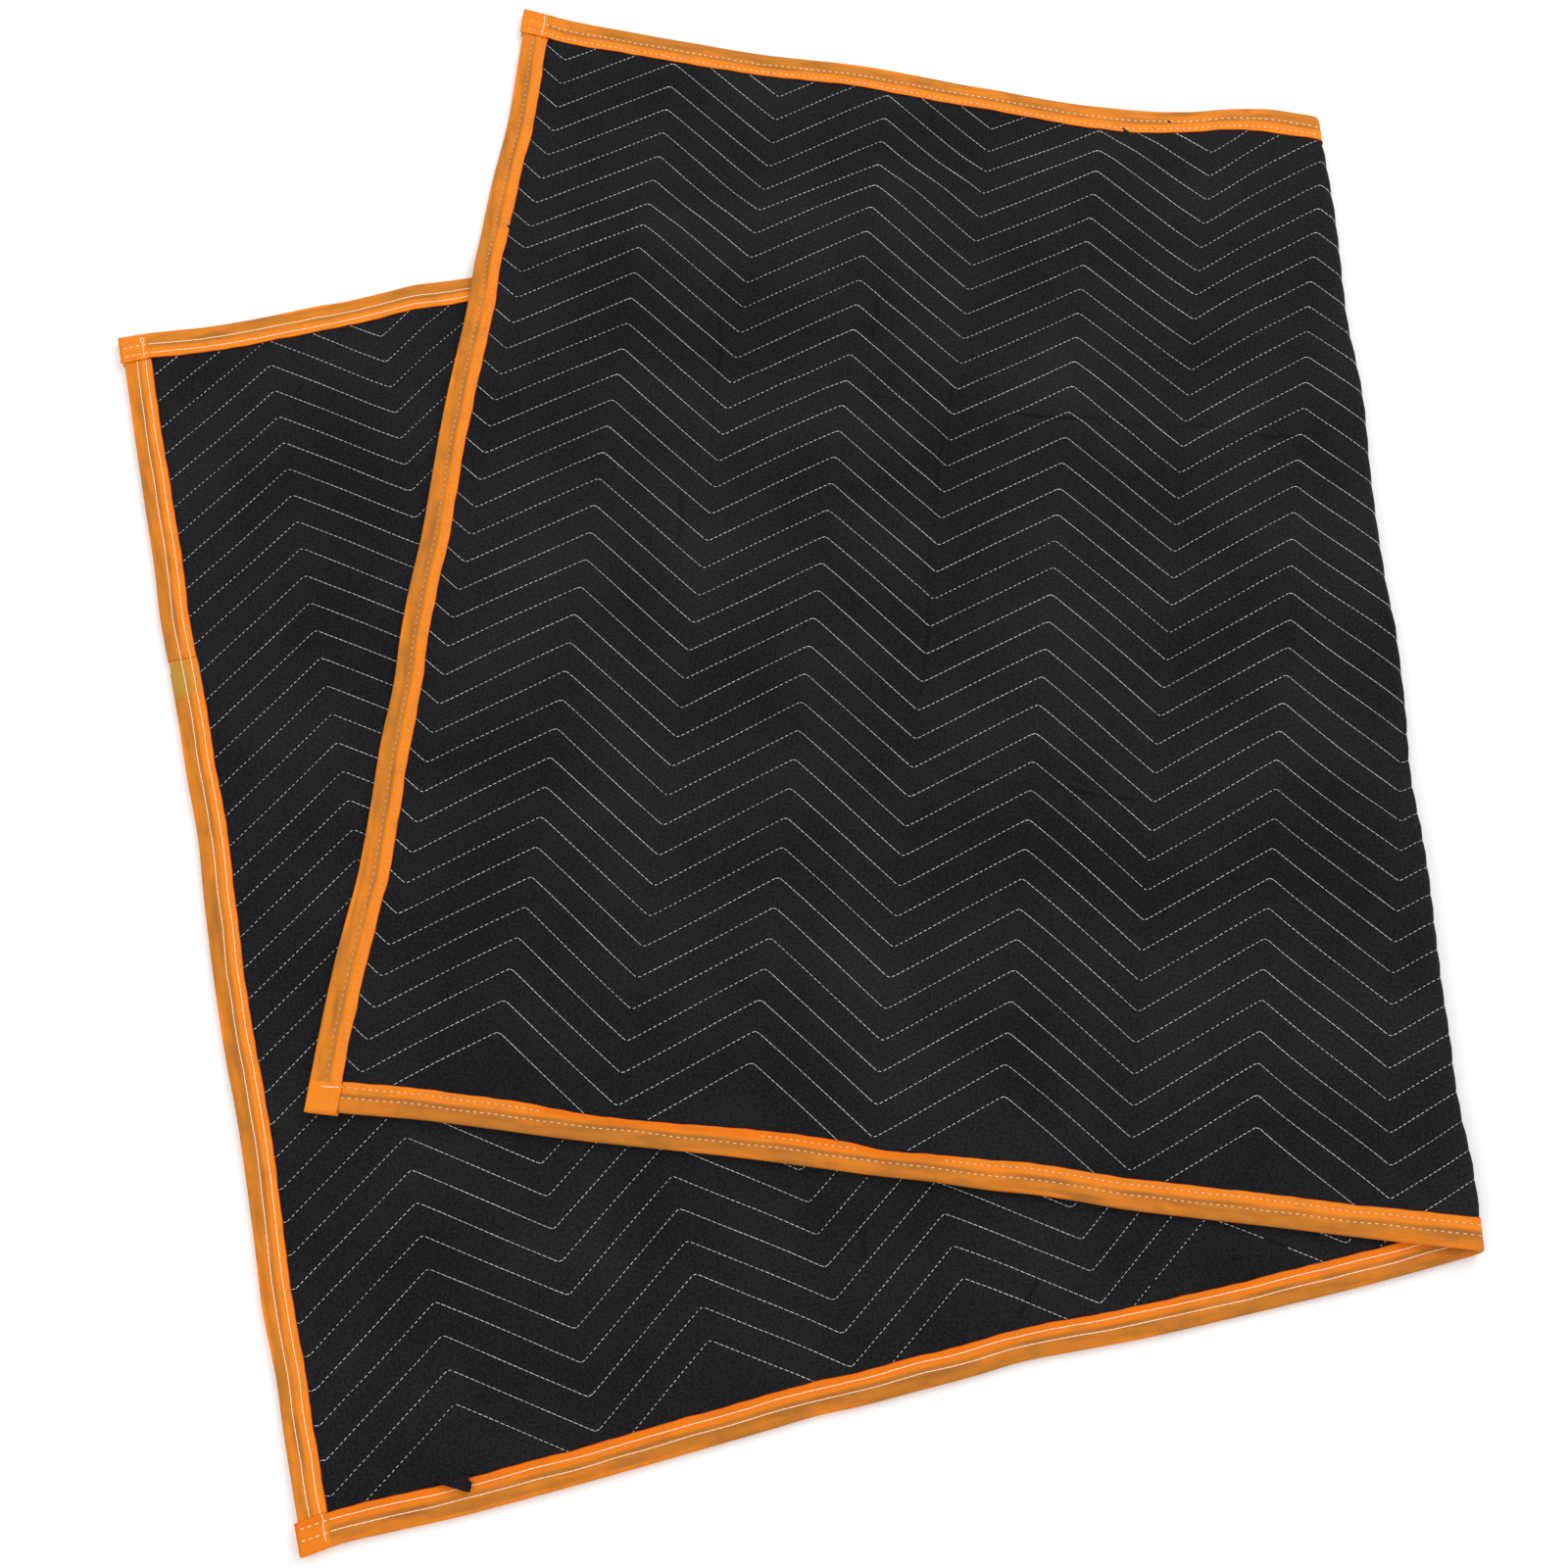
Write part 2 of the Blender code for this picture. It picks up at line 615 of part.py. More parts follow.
def short_stations(end_name):
    """Stations and half thicknesses of a short tape, along end A or end B."""
    bends = []
    if end_name == "b":
        for point, normal in drape_cut_lines():
            bends.append(point[1] + (point[0] - PAD_LENGTH) * normal[0] / normal[1])
    table = END_A_EDGE if end_name == "a" else END_B_EDGE
    kinks = [share * PAD_WIDTH for share, _ in table]
    start, half_at_near = tape_end("short", end_name, "near")
    end, half_at_far = tape_end("short", end_name, "far")
    stations = merge_stations(start, PAD_WIDTH - end, PAD_WIDTH, bends, kinks)
    return stations, tape_halves(stations, PAD_WIDTH, half_at_near, half_at_far)


def build_long_tape(name, side, material):
    """A long tape along the near or the far edge."""
    v_edge = 0.0 if side == "near" else PAD_WIDTH
    inward = 1.0 if side == "near" else -1.0

    def to_flat(station, depth):
        return station, v_edge + inward * depth

    return build_tape(name, *long_stations(side), to_flat, material)


def build_short_tape(name, end_name, material):
    """A short tape along end A or end B."""
    u_edge = 0.0 if end_name == "a" else PAD_LENGTH
    inward = 1.0 if end_name == "a" else -1.0

    def to_flat(station, depth):
        return u_edge + inward * depth, station

    return build_tape(name, *short_stations(end_name), to_flat, material)


def main():
    """Build the pad and its four tapes."""
    clear_scene()
    black = cloth_material("black_quilted_cloth", BLACK_CLOTH, 0.9)
    orange = cloth_material("orange_binding_tape", ORANGE_TAPE, 0.8)
    build_pad(black)
    build_short_tape("binding_short_a", "a", orange)
    build_short_tape("binding_short_b", "b", orange)
    build_long_tape("binding_long_near", "near", orange)
    build_long_tape("binding_long_far", "far", orange)


main()
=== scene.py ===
"""The finished look of a quilted moving pad, folded once, built around its solids.

Units are metres, +Z is up, and the pad lies on the plane z = 0. Flat coordinates are those of the
pad laid open: u runs along its length from end A to end B, v across its width from the near edge
to the far edge, and w is the height over the middle of the cloth, towards face 1. Face 1 is the
inside of the fold: the top of the lower layer and the underside of the upper one.
"""

import math
from functools import partial

import bpy
import numpy as np
from bpy.props import FloatProperty, FloatVectorProperty, PointerProperty
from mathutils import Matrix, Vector


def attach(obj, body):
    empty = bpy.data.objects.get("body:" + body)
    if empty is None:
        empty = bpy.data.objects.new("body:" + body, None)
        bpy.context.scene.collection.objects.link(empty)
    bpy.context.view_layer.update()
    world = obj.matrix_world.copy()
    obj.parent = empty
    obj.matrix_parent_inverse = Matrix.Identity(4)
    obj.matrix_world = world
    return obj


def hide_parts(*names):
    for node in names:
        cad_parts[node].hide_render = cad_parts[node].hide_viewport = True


bl_info = {
    "name": "Folded moving pad",
    "version": (1, 0, 0),
    "blender": (4, 5, 0),
    "location": "3D View > Sidebar > Moving pad",
    "description": "Dresses the solids of a folded moving pad in quilted cloth and binding tape",
    "category": "Object",
}

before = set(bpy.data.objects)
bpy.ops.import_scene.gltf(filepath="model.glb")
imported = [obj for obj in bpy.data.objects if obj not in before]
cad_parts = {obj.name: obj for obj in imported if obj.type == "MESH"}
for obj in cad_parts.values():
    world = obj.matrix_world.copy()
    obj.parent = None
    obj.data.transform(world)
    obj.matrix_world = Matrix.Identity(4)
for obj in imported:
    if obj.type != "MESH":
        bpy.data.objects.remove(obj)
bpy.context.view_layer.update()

# Where the pad is folded, measured along its length at the near and at the far edge, and the
# length over which the upper layer settles onto the lower one beside the fold
FOLD_AT_NEAR_EDGE = 0.913
FOLD_AT_FAR_EDGE = 1.0974
SETTLE_LENGTH = 0.055

# Corners of the folded pad on the floor, x and y
BASE_NEAR_CORNER = (-0.3246, -0.6734)
BASE_FAR_CORNER = (-0.5571, 0.3292)
LAP_NEAR_CORNER = (-0.3458, -0.3465)
LAP_FAR_CORNER = (-0.2122, 0.6735)
FOLD_NEAR_END = (0.5592, -0.4556)
FOLD_FAR_END = (0.5132, 0.5487)

# Unevenness of each edge: (share of the way along it, millimetres outward from its chord)
BASE_NEAR_EDGE = (
    (0.00, -0.8), (0.03, -3.4), (0.07, -2.6), (0.13, -1.0), (0.16, -1.1), (0.26, -2.4),
    (0.39, -5.5), (0.43, -6.5), (0.46, -5.4), (0.50, -5.5), (0.56, -6.0), (0.60, -7.2),
    (0.64, -5.2), (0.69, -2.1), (0.79, 0.5), (0.90, 1.7), (1.00, 0.3),
)
BASE_FAR_EDGE = (
    (0.00, -1.0), (0.03, -1.8), (0.07, -4.7), (0.12, -5.1), (0.16, -3.8), (0.18, -4.2),
    (0.21, -2.2), (0.24, 0.2), (0.26, -1.2), (0.50, -1.0), (1.00, 1.5),
)
END_A_EDGE = (
    (0.00, 0.3), (0.05, 1.0), (0.09, 1.2), (0.12, 0.4), (0.18, 2.7), (0.21, 1.7), (0.25, 0.9),
    (0.33, 1.0), (0.36, 2.5), (0.39, 3.0), (0.50, 1.0), (0.54, -1.2), (0.60, -0.2), (0.64, -0.3),
    (0.71, 1.2), (0.74, 1.9), (0.77, 0.8), (0.84, 0.8), (0.95, 0.9), (1.00, 0.3),
)
LAP_NEAR_EDGE = (
    (0.00, 1.0), (0.03, 0.8), (0.10, -1.5), (0.16, -1.2), (0.23, -0.5), (0.30, -1.4), (0.36, -2.3),
    (0.43, -2.0), (0.49, -1.3), (0.53, -1.8), (0.59, -0.9), (0.62, -1.6), (0.66, -0.5), (0.69, 1.0),
    (0.76, 1.2), (0.82, 0.8), (0.89, 0.8), (1.00, 0.0),
)
LAP_FAR_EDGE = (
    (0.00, -2.0), (0.03, -5.0), (0.07, -7.5), (0.12, -8.9), (0.17, -10.6), (0.21, -11.2),
    (0.31, -12.8), (0.36, -11.6), (0.40, -10.2), (0.44, -9.7), (0.50, -11.3), (0.56, -13.6),
    (0.60, -14.4), (0.65, -16.4), (0.69, -17.2), (0.74, -15.8), (0.79, -13.1), (0.84, -8.0),
    (0.88, -1.5), (0.93, 2.4), (0.97, -0.5), (1.00, -1.5),
)
END_B_EDGE = (
    (0.00, 0.6), (0.07, 0.7), (0.12, -0.8), (0.15, -2.9), (0.18, -5.2), (0.21, -5.3), (0.24, -4.4),
    (0.29, -2.3), (0.35, -2.6), (0.38, -0.4), (0.42, 0.6), (0.47, -0.9), (0.53, 0.3), (0.60, 1.1),
    (0.65, -0.4), (0.68, -1.6), (0.74, -0.2), (0.77, 0.5), (0.82, 0.0), (0.88, -2.8), (0.94, -1.0),
    (1.00, 1.0),
)
FOLD_EDGE = (
    (0.00, 0.5), (0.04, 1.4), (0.07, 1.0), (0.10, -1.8), (0.13, -2.8), (0.16, -2.0), (0.21, -2.4),
    (0.26, -1.0), (0.30, -0.2), (0.33, -0.8), (0.38, -2.8), (0.41, -0.8), (0.44, 1.2), (0.47, 2.0),
    (0.51, 2.4), (0.54, 0.6), (0.64, 0.2), (0.72, 3.4), (0.79, 0.0), (0.90, 2.6), (1.00, 0.5),
)

# Radius of the fold's bulge, middle of the cloth: (share of the way from near to far, mm)
FOLD_BULGE = ((0.00, 5.2), (0.20, 6.4), (0.45, 5.6), (0.75, 6.6), (1.00, 5.4))

# Height of the middle of the upper layer: (mm past the lower layer's far edge, mm up)
DRAPE = (
    (-60.0, 9.3), (-12.0, 10.4), (5.0, 10.3), (20.0, 7.2), (36.0, 3.7), (52.0, 2.8),
)

# Soft humps in the upper layer: x and y in metres, radius and height in millimetres
HUMPS = (
    (0.025, 0.234, 85, 2.0),
    (0.413, 0.348, 80, 2.6),
    (0.298, 0.281, 70, 1.6),
    (-0.048, 0.026, 75, 2.0),
    (-0.178, -0.215, 90, 2.4),
    (0.427, -0.051, 95, 2.8),
    (0.091, 0.088, 80, 1.6),
    (0.348, -0.294, 105, 2.6),
)

# Packing creases: x and y of both ends in metres, half width and height in mm, and how dark the
# painted shade along each one is. The last three lie in the lower layer, and show only as painted
# shade.
CREASES = (
    (-0.027, 0.356, -0.038, 0.169, 7.0, 1.0, 0.45),
    (-0.051, 0.258, -0.063, 0.120, 7.0, 0.8, 0.35),
    (0.112, 0.377, 0.101, 0.317, 6.0, 0.6, 0.80),
    (0.170, 0.290, 0.153, 0.147, 7.0, 1.0, 0.42),
    (0.153, 0.147, 0.140, -0.017, 7.0, 0.9, 0.45),
    (0.207, 0.253, 0.404, 0.233, 6.0, 1.1, 0.55),
    (0.404, 0.233, 0.500, 0.228, 6.0, 0.9, 0.50),
    (-0.023, 0.298, 0.173, 0.255, 6.0, 0.9, 0.35),
    (0.145, -0.075, 0.325, -0.099, 6.0, 0.6, 0.40),
    (0.363, 0.067, 0.357, 0.018, 6.0, 0.5, 0.55),
    (0.200, -0.512, 0.228, -0.456, 5.0, 0.0, 0.45),
    (0.312, -0.474, 0.388, -0.459, 5.0, 0.0, 0.50),
    (0.081, -0.424, 0.090, -0.473, 5.0, 0.0, 0.40),
)

# Each crease fades out over this length at both ends, and its trough wanders aside by this much
# in waves of this length
CREASE_ENDS = 0.02
CREASE_WANDER = 0.002
CREASE_WAVELENGTH = 0.09

# Faint waves in both layers: direction in degrees, wavelength in mm, height in mm, phase
WAVES = (
    (12.0, 172.0, 0.16, 0.4),
    (68.0, 118.0, 0.14, 2.1),
    (141.0, 208.0, 0.20, 4.0),
    (103.0, 91.0, 0.08, 1.3),
)

# The zigzag: first and last sewn row, first peak from end A, and half the width of a round tip
FIRST_SEWN_ROW = 3
LAST_SEWN_ROW = 41
FIRST_PEAK = 0.120
TIP_ROUNDING = 0.0022

# How far the sewn rows lie from their even places, in mm: (place along the pad in metres,
# along at the near edge, the middle and the far edge, across at the same three). It fades in
# over a short length at both ends of the pad.
SEWN_DRIFT = (
    (0.030, 5.0, 3.0, 2.5, 1.0, -0.5, 2.5),
    (0.100, 7.5, 5.0, 5.0, 2.0, 0.5, 2.5),
    (0.200, 8.5, 6.5, 6.5, 0.0, 0.0, 1.5),
    (0.310, 6.5, 6.5, 7.0, -1.0, -2.0, -1.0),
    (0.450, 8.0, 4.0, 4.0, -4.0, -3.0, -2.0),
    (0.700, 10.0, 5.0, 5.0, -7.0, -4.0, -3.0),
    (0.850, 12.0, 6.0, 6.0, -5.0, -4.0, -4.0),
    (0.880, 10.7, 5.2, 5.3, -4.6, -3.5, -3.6),
    (0.930, -7.8, -3.4, 3.2, -1.8, 1.6, -1.2),
    (1.004, -15.9, -8.4, -1.1, -1.0, 4.1, 1.4),
    (1.095, -10.0, -7.6, -6.0, -1.0, 1.5, 2.0),
    (1.120, -11.5, -8.5, -7.0, 0.0, 1.0, 2.0),
    (1.155, -11.0, -6.0, -4.0, -1.5, -4.5, -5.0),
    (1.190, -12.5, -6.3, -7.7, -2.0, -6.5, -8.0),
    (1.215, -13.0, -8.0, -8.0, -2.0, -6.5, -7.5),
    (1.240, -12.0, -5.0, -5.5, -2.0, -2.5, -3.5),
    (1.280, -11.0, -5.0, -6.0, -2.0, -1.0, -2.0),
    (1.380, -11.0, -5.0, -7.0, -4.0, -2.0, -1.0),
    (1.480, -8.0, -7.0, -8.0, -1.0, -2.0, -2.0),
    (1.580, -6.0, -7.0, -8.0, -3.0, -2.0, -1.0),
    (1.680, -2.5, -6.0, -6.0, -1.0, -1.0, 0.0),
    (1.800, 0.0, -3.0, -4.0, 0.0, 0.0, 0.0),
)
DRIFT_FADE = 0.028

# More of it beside the near edge, fading out across the reach: (place, mm along, mm across)
NEAR_DRIFT = (
    (0.10, 1.0, 1.0), (0.50, 0.0, 1.0), (0.56, 0.0, 2.0), (0.62, -4.0, 7.0), (0.67, -7.0, 9.0),
    (0.72, -5.0, 11.0), (0.77, -4.0, 8.0), (0.82, -9.0, 8.0), (0.88, -3.0, 2.0), (0.95, 0.0, 0.0),
)
NEAR_DRIFT_REACH = 0.25

# Where the machine skipped: (row, from, to), along the pad in metres
SKIPPED = (
    (3, 0.652, 0.657),
    (3, 0.743, 0.759),
)

# Unevenness of the puffs between rows: its share, its wavelength, and how far each row's waves
# are shifted from the last one's
PUFF_UNEVEN = 0.16
PUFF_WAVELENGTH = 0.16
PUFF_SHIFT = 0.37

# The cloth's grid: rows as shares of a row spacing, columns in metres from each tip of the
# zigzag, and (from, to, step) of the other columns, which keep their distance from a tip
ROW_SHARES = (0.0, 0.13, 0.5, 0.87)
TIP_COLUMNS = (-0.0022, -0.0009, 0.0, 0.0009, 0.0022)
COLUMN_STEPS = (
    (0.020, 0.886, 0.0196),
    (0.886, 1.127, 0.0023),
    (1.127, 1.300, 0.0196),
    (1.300, 1.600, 0.0085),
    (1.600, 1.820, 0.0196),
)
TIP_CLEARANCE = 0.4

# Share of a quilting stitch that shows, on dashed and on whole legs of each face, the least and
# the most of it that uneven tension leaves, and how close to the pad's edge the rows are sewn
QUILT_THREAD_SHOWN = {1: (0.62, 0.84), 2: (0.70, 0.92)}
QUILT_SHOWN_LIMITS = (0.45, 0.985)
SEWN_UNDER_TAPE = 0.0205

# Uneven tension, as shares of a stitch: from row to row, from stitch to stitch, and in waves
# along a row, with their wavelength
ROW_TENSION = 0.04
STITCH_TENSION = 0.03
WAVE_TENSION = 0.03
TENSION_WAVELENGTH = 0.5

# A quilting stitch: how deep it is sunk, how high it stands, by what share of its length the
# top is shorter at each end, and its two ends as places along it
QUILT_SUNK = 0.0002
QUILT_RAISED = 0.00042
QUILT_TOP_SHORTER = 0.12
QUILT_RINGS = ((0.0, 1.0, 1.0), (1.0, 1.0, 1.0))

# Points along a row at which its length is measured
ROW_SAMPLES = 8000

# Under the tapes: half thickness of the pad's edge and of its corners, how far the edge is drawn
# in, and the lengths over which the pad puffs up, and thins and lifts towards a corner
EDGE_HALF = 0.0015
CORNER_CORE_HALF = 0.0012
EDGE_INSET = 0.003
PUFF_RAMP = 0.009
CORNER_RAMP = 0.005
CORNER_SPREAD = 0.050

# The tapes: how deep they cover the pad, the gap under them, how far the upper tape's end
# sticks out at a corner, and the depth of the rounded outer edge
TAPE_WIDTH = 0.0245
SEWN_GAP = 0.0003
TAPE_END_OVERHANG = 0.0022
TAPE_NOSE = 0.0021

# Sections of the tapes: their even step and their least step, and where more of them lie, as
# (from, to, how many) past the edge of a corner square and on both sides of the fold, and beside
# the cut end of a joined tape
TAPE_STEP = 0.004
LEAST_TAPE_STEP = 0.0004
CORNER_SECTIONS = (-0.004, CORNER_RAMP + 0.002, 9)
FOLD_SECTIONS = (-0.013, 0.013, 23)
JOIN_SECTIONS = (-0.0012, -0.0006, 0.0, 0.0006)

# Bands of a tape's section from the inner edge, which is 3, over the seams, which are 2 and 1,
# to the outer edge, which is 0
BANDS = (3.0, 2.93, 2.4, 2.0, 1.7, 1.5, 1.2, 1.0, 0.84, 0.5, 0.2, 0.07, 0.02)

# Which tape lies over the other at each corner
TOP_TAPE = {
    ("a", "near"): "long",
    ("a", "far"): "long",
    ("b", "near"): "short",
    ("b", "far"): "long",
}

# Both seams of each tape and its inner edge: (share of its length, mm from the outer edge)
TAPE_LINES = {
    "short_a": (
        (0.00, 9.4, 17.4, 23.1), (0.12, 9.4, 17.4, 23.1), (0.25, 11.1, 19.1, 24.3),
        (0.80, 11.2, 19.1, 24.6), (1.00, 11.0, 18.4, 23.6),
    ),
    "short_b": (
        (0.00, 13.0, 21.3, 25.8), (0.10, 13.0, 21.3, 25.9), (0.25, 12.8, 20.9, 25.6),
        (0.35, 12.2, 20.4, 24.4), (0.65, 11.9, 20.1, 24.6), (1.00, 10.8, 19.2, 24.0),
    ),
    "long_near": (
        (0.00, 10.8, 18.9, 24.3), (0.15, 11.2, 19.2, 25.2), (0.30, 11.2, 19.2, 24.4),
        (0.52, 11.4, 19.4, 25.0), (0.62, 11.6, 19.7, 24.4), (0.72, 10.8, 18.6, 23.2),
        (1.00, 11.3, 19.2, 23.8),
    ),
    "long_far": (
        (0.00, 12.2, 20.6, 25.9), (0.60, 12.2, 20.6, 25.8), (0.63, 12.8, 21.8, 26.9),
        (0.66, 13.2, 22.6, 27.6), (0.69, 12.8, 22.0, 26.8), (0.74, 11.6, 20.2, 24.4),
        (0.80, 12.0, 20.3, 24.4), (0.88, 11.8, 20.1, 24.0), (1.00, 12.6, 21.4, 26.0),
    ),
}

# Where the near tape's inner hem has rolled over on face 2: (station, mm that its edge draws in).
# Its ridge has this height where the edge draws in by ROLL_DRAWN, stands this far inside the edge
# and reaches this far. It hides the second seam between these stations.
ROLLED_HEM = (
    (1.280, 0.0), (1.310, 0.6), (1.340, 2.0), (1.365, 3.0), (1.385, 2.9), (1.398, 0.7),
    (1.412, 0.0), (1.460, 0.2), (1.500, 0.9), (1.530, 1.7), (1.560, 3.1), (1.600, 3.2),
    (1.630, 2.0), (1.650, 0.6), (1.670, 0.0),
)
ROLL_HEIGHT = 0.0013
ROLL_DRAWN = 0.003
ROLL_INSET = 0.0022
ROLL_REACH = 0.0017
HIDDEN_SEAM = ((1.328, 1.395), (1.475, 1.645))

# End A's tape is joined from two lengths, which overlap here: the upper one's height, and the
# lengths over which it rises at its cut end and at the other end of the overlap
JOIN_PLACE = 0.7075
JOIN_OVERLAP = 0.034
JOIN_STEP = 0.0004
JOIN_CUT = 0.0006
JOIN_EASE = 0.004

# Looks of the near tape, each as the stations between which they come in: its outer edge is bright
# before the first pair, its hem is deeper before the second and between the last two
BRIGHT_EDGE_BEFORE = (0.32, 0.28)
DEEP_HEM_BEFORE = (0.93, 0.90)
DEEP_HEM_FROM = (1.31, 1.34)
DEEP_HEM_UNTIL = (1.67, 1.64)

# Seams start just under the square that covers them, or this far from a tape's own first or
# last end. Over a square, where the thread is sunk, this share of a stitch's usual length shows.
UNDER_SQUARE = 0.0215
SQUARE_END = 0.0225
FIRST_STITCH = 0.0025
LAST_STITCH = 0.0012
SHOWN_ON_SQUARE = 0.55

# Unevenness of the seams: their first stitch starts late by up to this share of the pitch, each
# stitch differs by about this share, and lies aside by about this much of the way to the next
# point of the section, on face 1 in waves of this length
SEAM_PHASE = 0.4
SEAM_TENSION = 0.04
SEAM_ASIDE = 0.05
SEAM_WAVELENGTH = 0.03

# A bar of thread crosses each corner square at this station, uneven by this much in waves of this
# length, through this many points. BARS says from where to where, in mm from the outer edge.
BAR_PLACE = 0.0185
BAR_UNEVEN = 0.0004
BAR_WAVELENGTH = 0.02
BAR_POINTS = 5
BARS = {
    ("a", "near"): (5.0, 24.4),
    ("a", "far"): (9.0, 24.0),
    ("b", "near"): (9.0, 23.0),
    ("b", "far"): (3.4, 22.0),
}

# A loop of thread is left over at one corner: depth and radius in metres, how much longer it is
# across the tape, and the points round it
LOOP_DEPTH = 0.0072
LOOP_RADIUS = 0.0016
LOOP_STRETCH = 1.3
LOOP_POINTS = 9

# Share of a stitch that shows on face 2, in the first and the second seam, and how white it is:
# less white is painted shade, where the thread lies sunk in the tape
SEAM_SHOWN = {
    "short_a": (0.60, 0.55, 1.0),
    "short_b": (0.52, 0.42, 0.62),
    "long_near": (0.60, 0.52, 0.70),
    "long_far": (0.60, 0.52, 0.76),
}

# A seam stitch: (across, up) round its section in half widths, and places along it as (share of
# the way, scale of the width, scale of the height), first where it dives into the cloth and then
# where it is seen whole. The last number also gives its painted shade, from the needle's hole to
# white.
SEAM_PROFILE = ((-1.0, -0.35), (1.0, -0.35), (0.62, 0.7), (-0.62, 0.7))
SEAM_RINGS = ((0.0, 0.75, 0.1), (0.16, 1.0, 1.0), (0.84, 1.0, 1.0), (1.0, 0.75, 0.1))
WHOLE_SEAM_RINGS = ((0.0, 0.8, 0.8), (0.2, 1.0, 1.0), (0.8, 1.0, 1.0), (1.0, 0.8, 0.8))
SEAM_TALLNESS = 1.5

# A torn tuft of black cloth over the near tape on face 1, as (station, depth) in mm: its root
# runs straight from the first point to the last one. Its grid has this many points along the
# root and out from it. It counts as lying between two rows, so that no row's shadow crosses it.
TUFT = ((103.0, 27.5), (127.4, 14.4), (130.4, 21.0), (128.0, 21.6), (129.0, 27.5))
TUFT_GRID = (33, 9)
TUFT_ROW = 1.5
TUFT_THICKNESS = 0.0008
TUFT_RISE = 0.0026
TUFT_GAP = 0.0001
TUFT_UNEVEN = 0.0003
TUFT_WAVELENGTH = 0.009

# Waves along the tapes: their height and length, and how far inside the outer and the inner edge
# they are at full height. Then depth and reach of the dip at each seam.
TAPE_SWELL = 0.00022
SWELL_WAVELENGTH = 0.014
SWELL_OUTER = 0.004
SWELL_INNER = 0.002
SEAM_DIP = 0.00035
SEAM_DIP_REACH = 0.0009

# Unevenness of a tape's seams and inner edge: height in metres, seed and wavelength of what all
# three share, and of each
SHARED_RIPPLE = (0.0004, 6, 0.10)
LINE_RIPPLES = ((0.0002, 1, 0.11), (0.0002, 2, 0.09), (0.0003, 4, 0.035))

# Points at which the crossing of end B and the lower layer's far edge is sought
EDGE_SAMPLES = 400

# The camera, and what it looks at
CAMERA_PLACE = (0.0268, -0.5509, 1.5392)
CAMERA_AIM = (0.0268, -0.0803, 0.0)
CAMERA_LENS = 45.0
CAMERA_SENSOR = 36.0

# The studio: half the floor's width, its corners in half widths, its gap below the pad, the
# lights as (place, size in metres, power in watts), and how bright the surroundings are
FLOOR_HALF = 14.0
FLOOR_CORNERS = ((-1, -1), (1, -1), (1, 1), (-1, 1))
FLOOR_GAP = 0.0004
LIGHTS = {
    "key_light": ((1.6, 1.9, 2.4), 2.2, 46.0),
    "fill_light": ((-2.2, -1.4, 2.6), 2.8, 22.0),
}
SURROUNDINGS_STRENGTH = 0.85

# Seeds of what is uneven in the cloth: the creases' wander, the puffs, the stitches of each
# face, their tension, and the tuft
CREASE_SEED = 5
PUFF_SEED = 11
STITCH_SEED = 21
TENSION_SEED = 31
TUFT_SEED = 61


def linear(code):
    """Linear colour of an sRGB hex value, by the sRGB curve."""
    parts = np.array([int(code[k:k + 2], 16) for k in (0, 2, 4)]) / 255.0
    low = parts / 12.92
    high = ((parts + 0.055) / 1.055) ** 2.4
    return tuple(float(x) for x in np.where(parts <= 0.04045, low, high))


def colour_property(name, description, code):
    """A colour that a user can change."""
    return FloatVectorProperty(
        name=name, description=description, subtype="COLOR", size=3, min=0.0, max=1.0,
        default=linear(code),
    )


def length_property(name, description, default):
    """A length that a user can change."""
    return FloatProperty(
        name=name, description=description, default=default, min=0.0, unit="LENGTH",
        subtype="DISTANCE",
    )


class PadSizes(bpy.types.PropertyGroup):
    """Sizes of the pad as sewn."""

    pad_length: length_property("Length", "Length of the pad laid open", 1.829)
    pad_width: length_property("Width", "Width of the pad laid open", 1.016)
    thickness: length_property("Thickness", "Thickness between two rows of quilting", 0.0056)
    sewn_thickness: length_property("Sewn thickness", "Thickness on a row of quilting", 0.0038)
    row_pitch: length_property("Row spacing", "Distance between rows of quilting", 0.0254)
    half_period: length_property("Zigzag run", "Length from a peak to a valley", 0.09825)
    zigzag_rise: length_property("Zigzag rise", "Height from a valley to a peak", 0.0695)
    tape_thickness: length_property("Tape thickness", "Thickness of the binding tape", 0.001)
    quilt_stitch: length_property("Quilting stitch", "Pitch of the quilting stitches", 0.0044)
    seam_stitch: length_property("Seam stitch", "Pitch of the stitches along the tapes", 0.0055)
    quilt_thread: length_property("Quilting thread", "Width of the quilting thread", 0.0007)
    seam_thread: length_property("Seam thread", "Width of the thread along the tapes", 0.0008)


class PadColours(bpy.types.PropertyGroup):
    """Colours of the pad and of the room."""

    cloth: colour_property("Cloth", "Black facing cloth", "151518")
    lint: colour_property("Lint", "Pale fluff on the black cloth", "6A6A6E")
    tape: colour_property("Tape", "Orange tape where it is backed by its own hem", "EC841E")
    thin_tape: colour_property("Thin tape", "Orange tape with black cloth showing through", "C97A25")
    deep_tape: colour_property("Deep tape", "Hem of the near tape where it is deeper", "EC7606")
    stained_tape: colour_property("Stained tape", "Dull patches of the tape", "B46E28")
    joined_tape: colour_property("Joined tape", "Olive cast where two lengths of tape meet", "B08A38")
    quilt_thread: colour_property("Quilting thread", "Thread of the zigzag rows", "E4E4E6")
    seam_thread: colour_property("Seam thread", "Thread along the tapes", "FFE2C6")
    soil: colour_property("Soil", "Dust and soil on the tape", "5E4026")
    # Painted shade along the tape's inner edge and along the cut end of a joined tape
    painted_edge_shade: colour_property("Inner rim", "Shaded rim of the tape's inner edge", "A03208")
    # Painted shade where the thread sinks into its needle hole
    needle_hole: colour_property("Needle hole", "Dark ends of the stitches in the tape", "8A4318")
    floor: colour_property("Floor", "Plain studio floor", "FBFBFB")


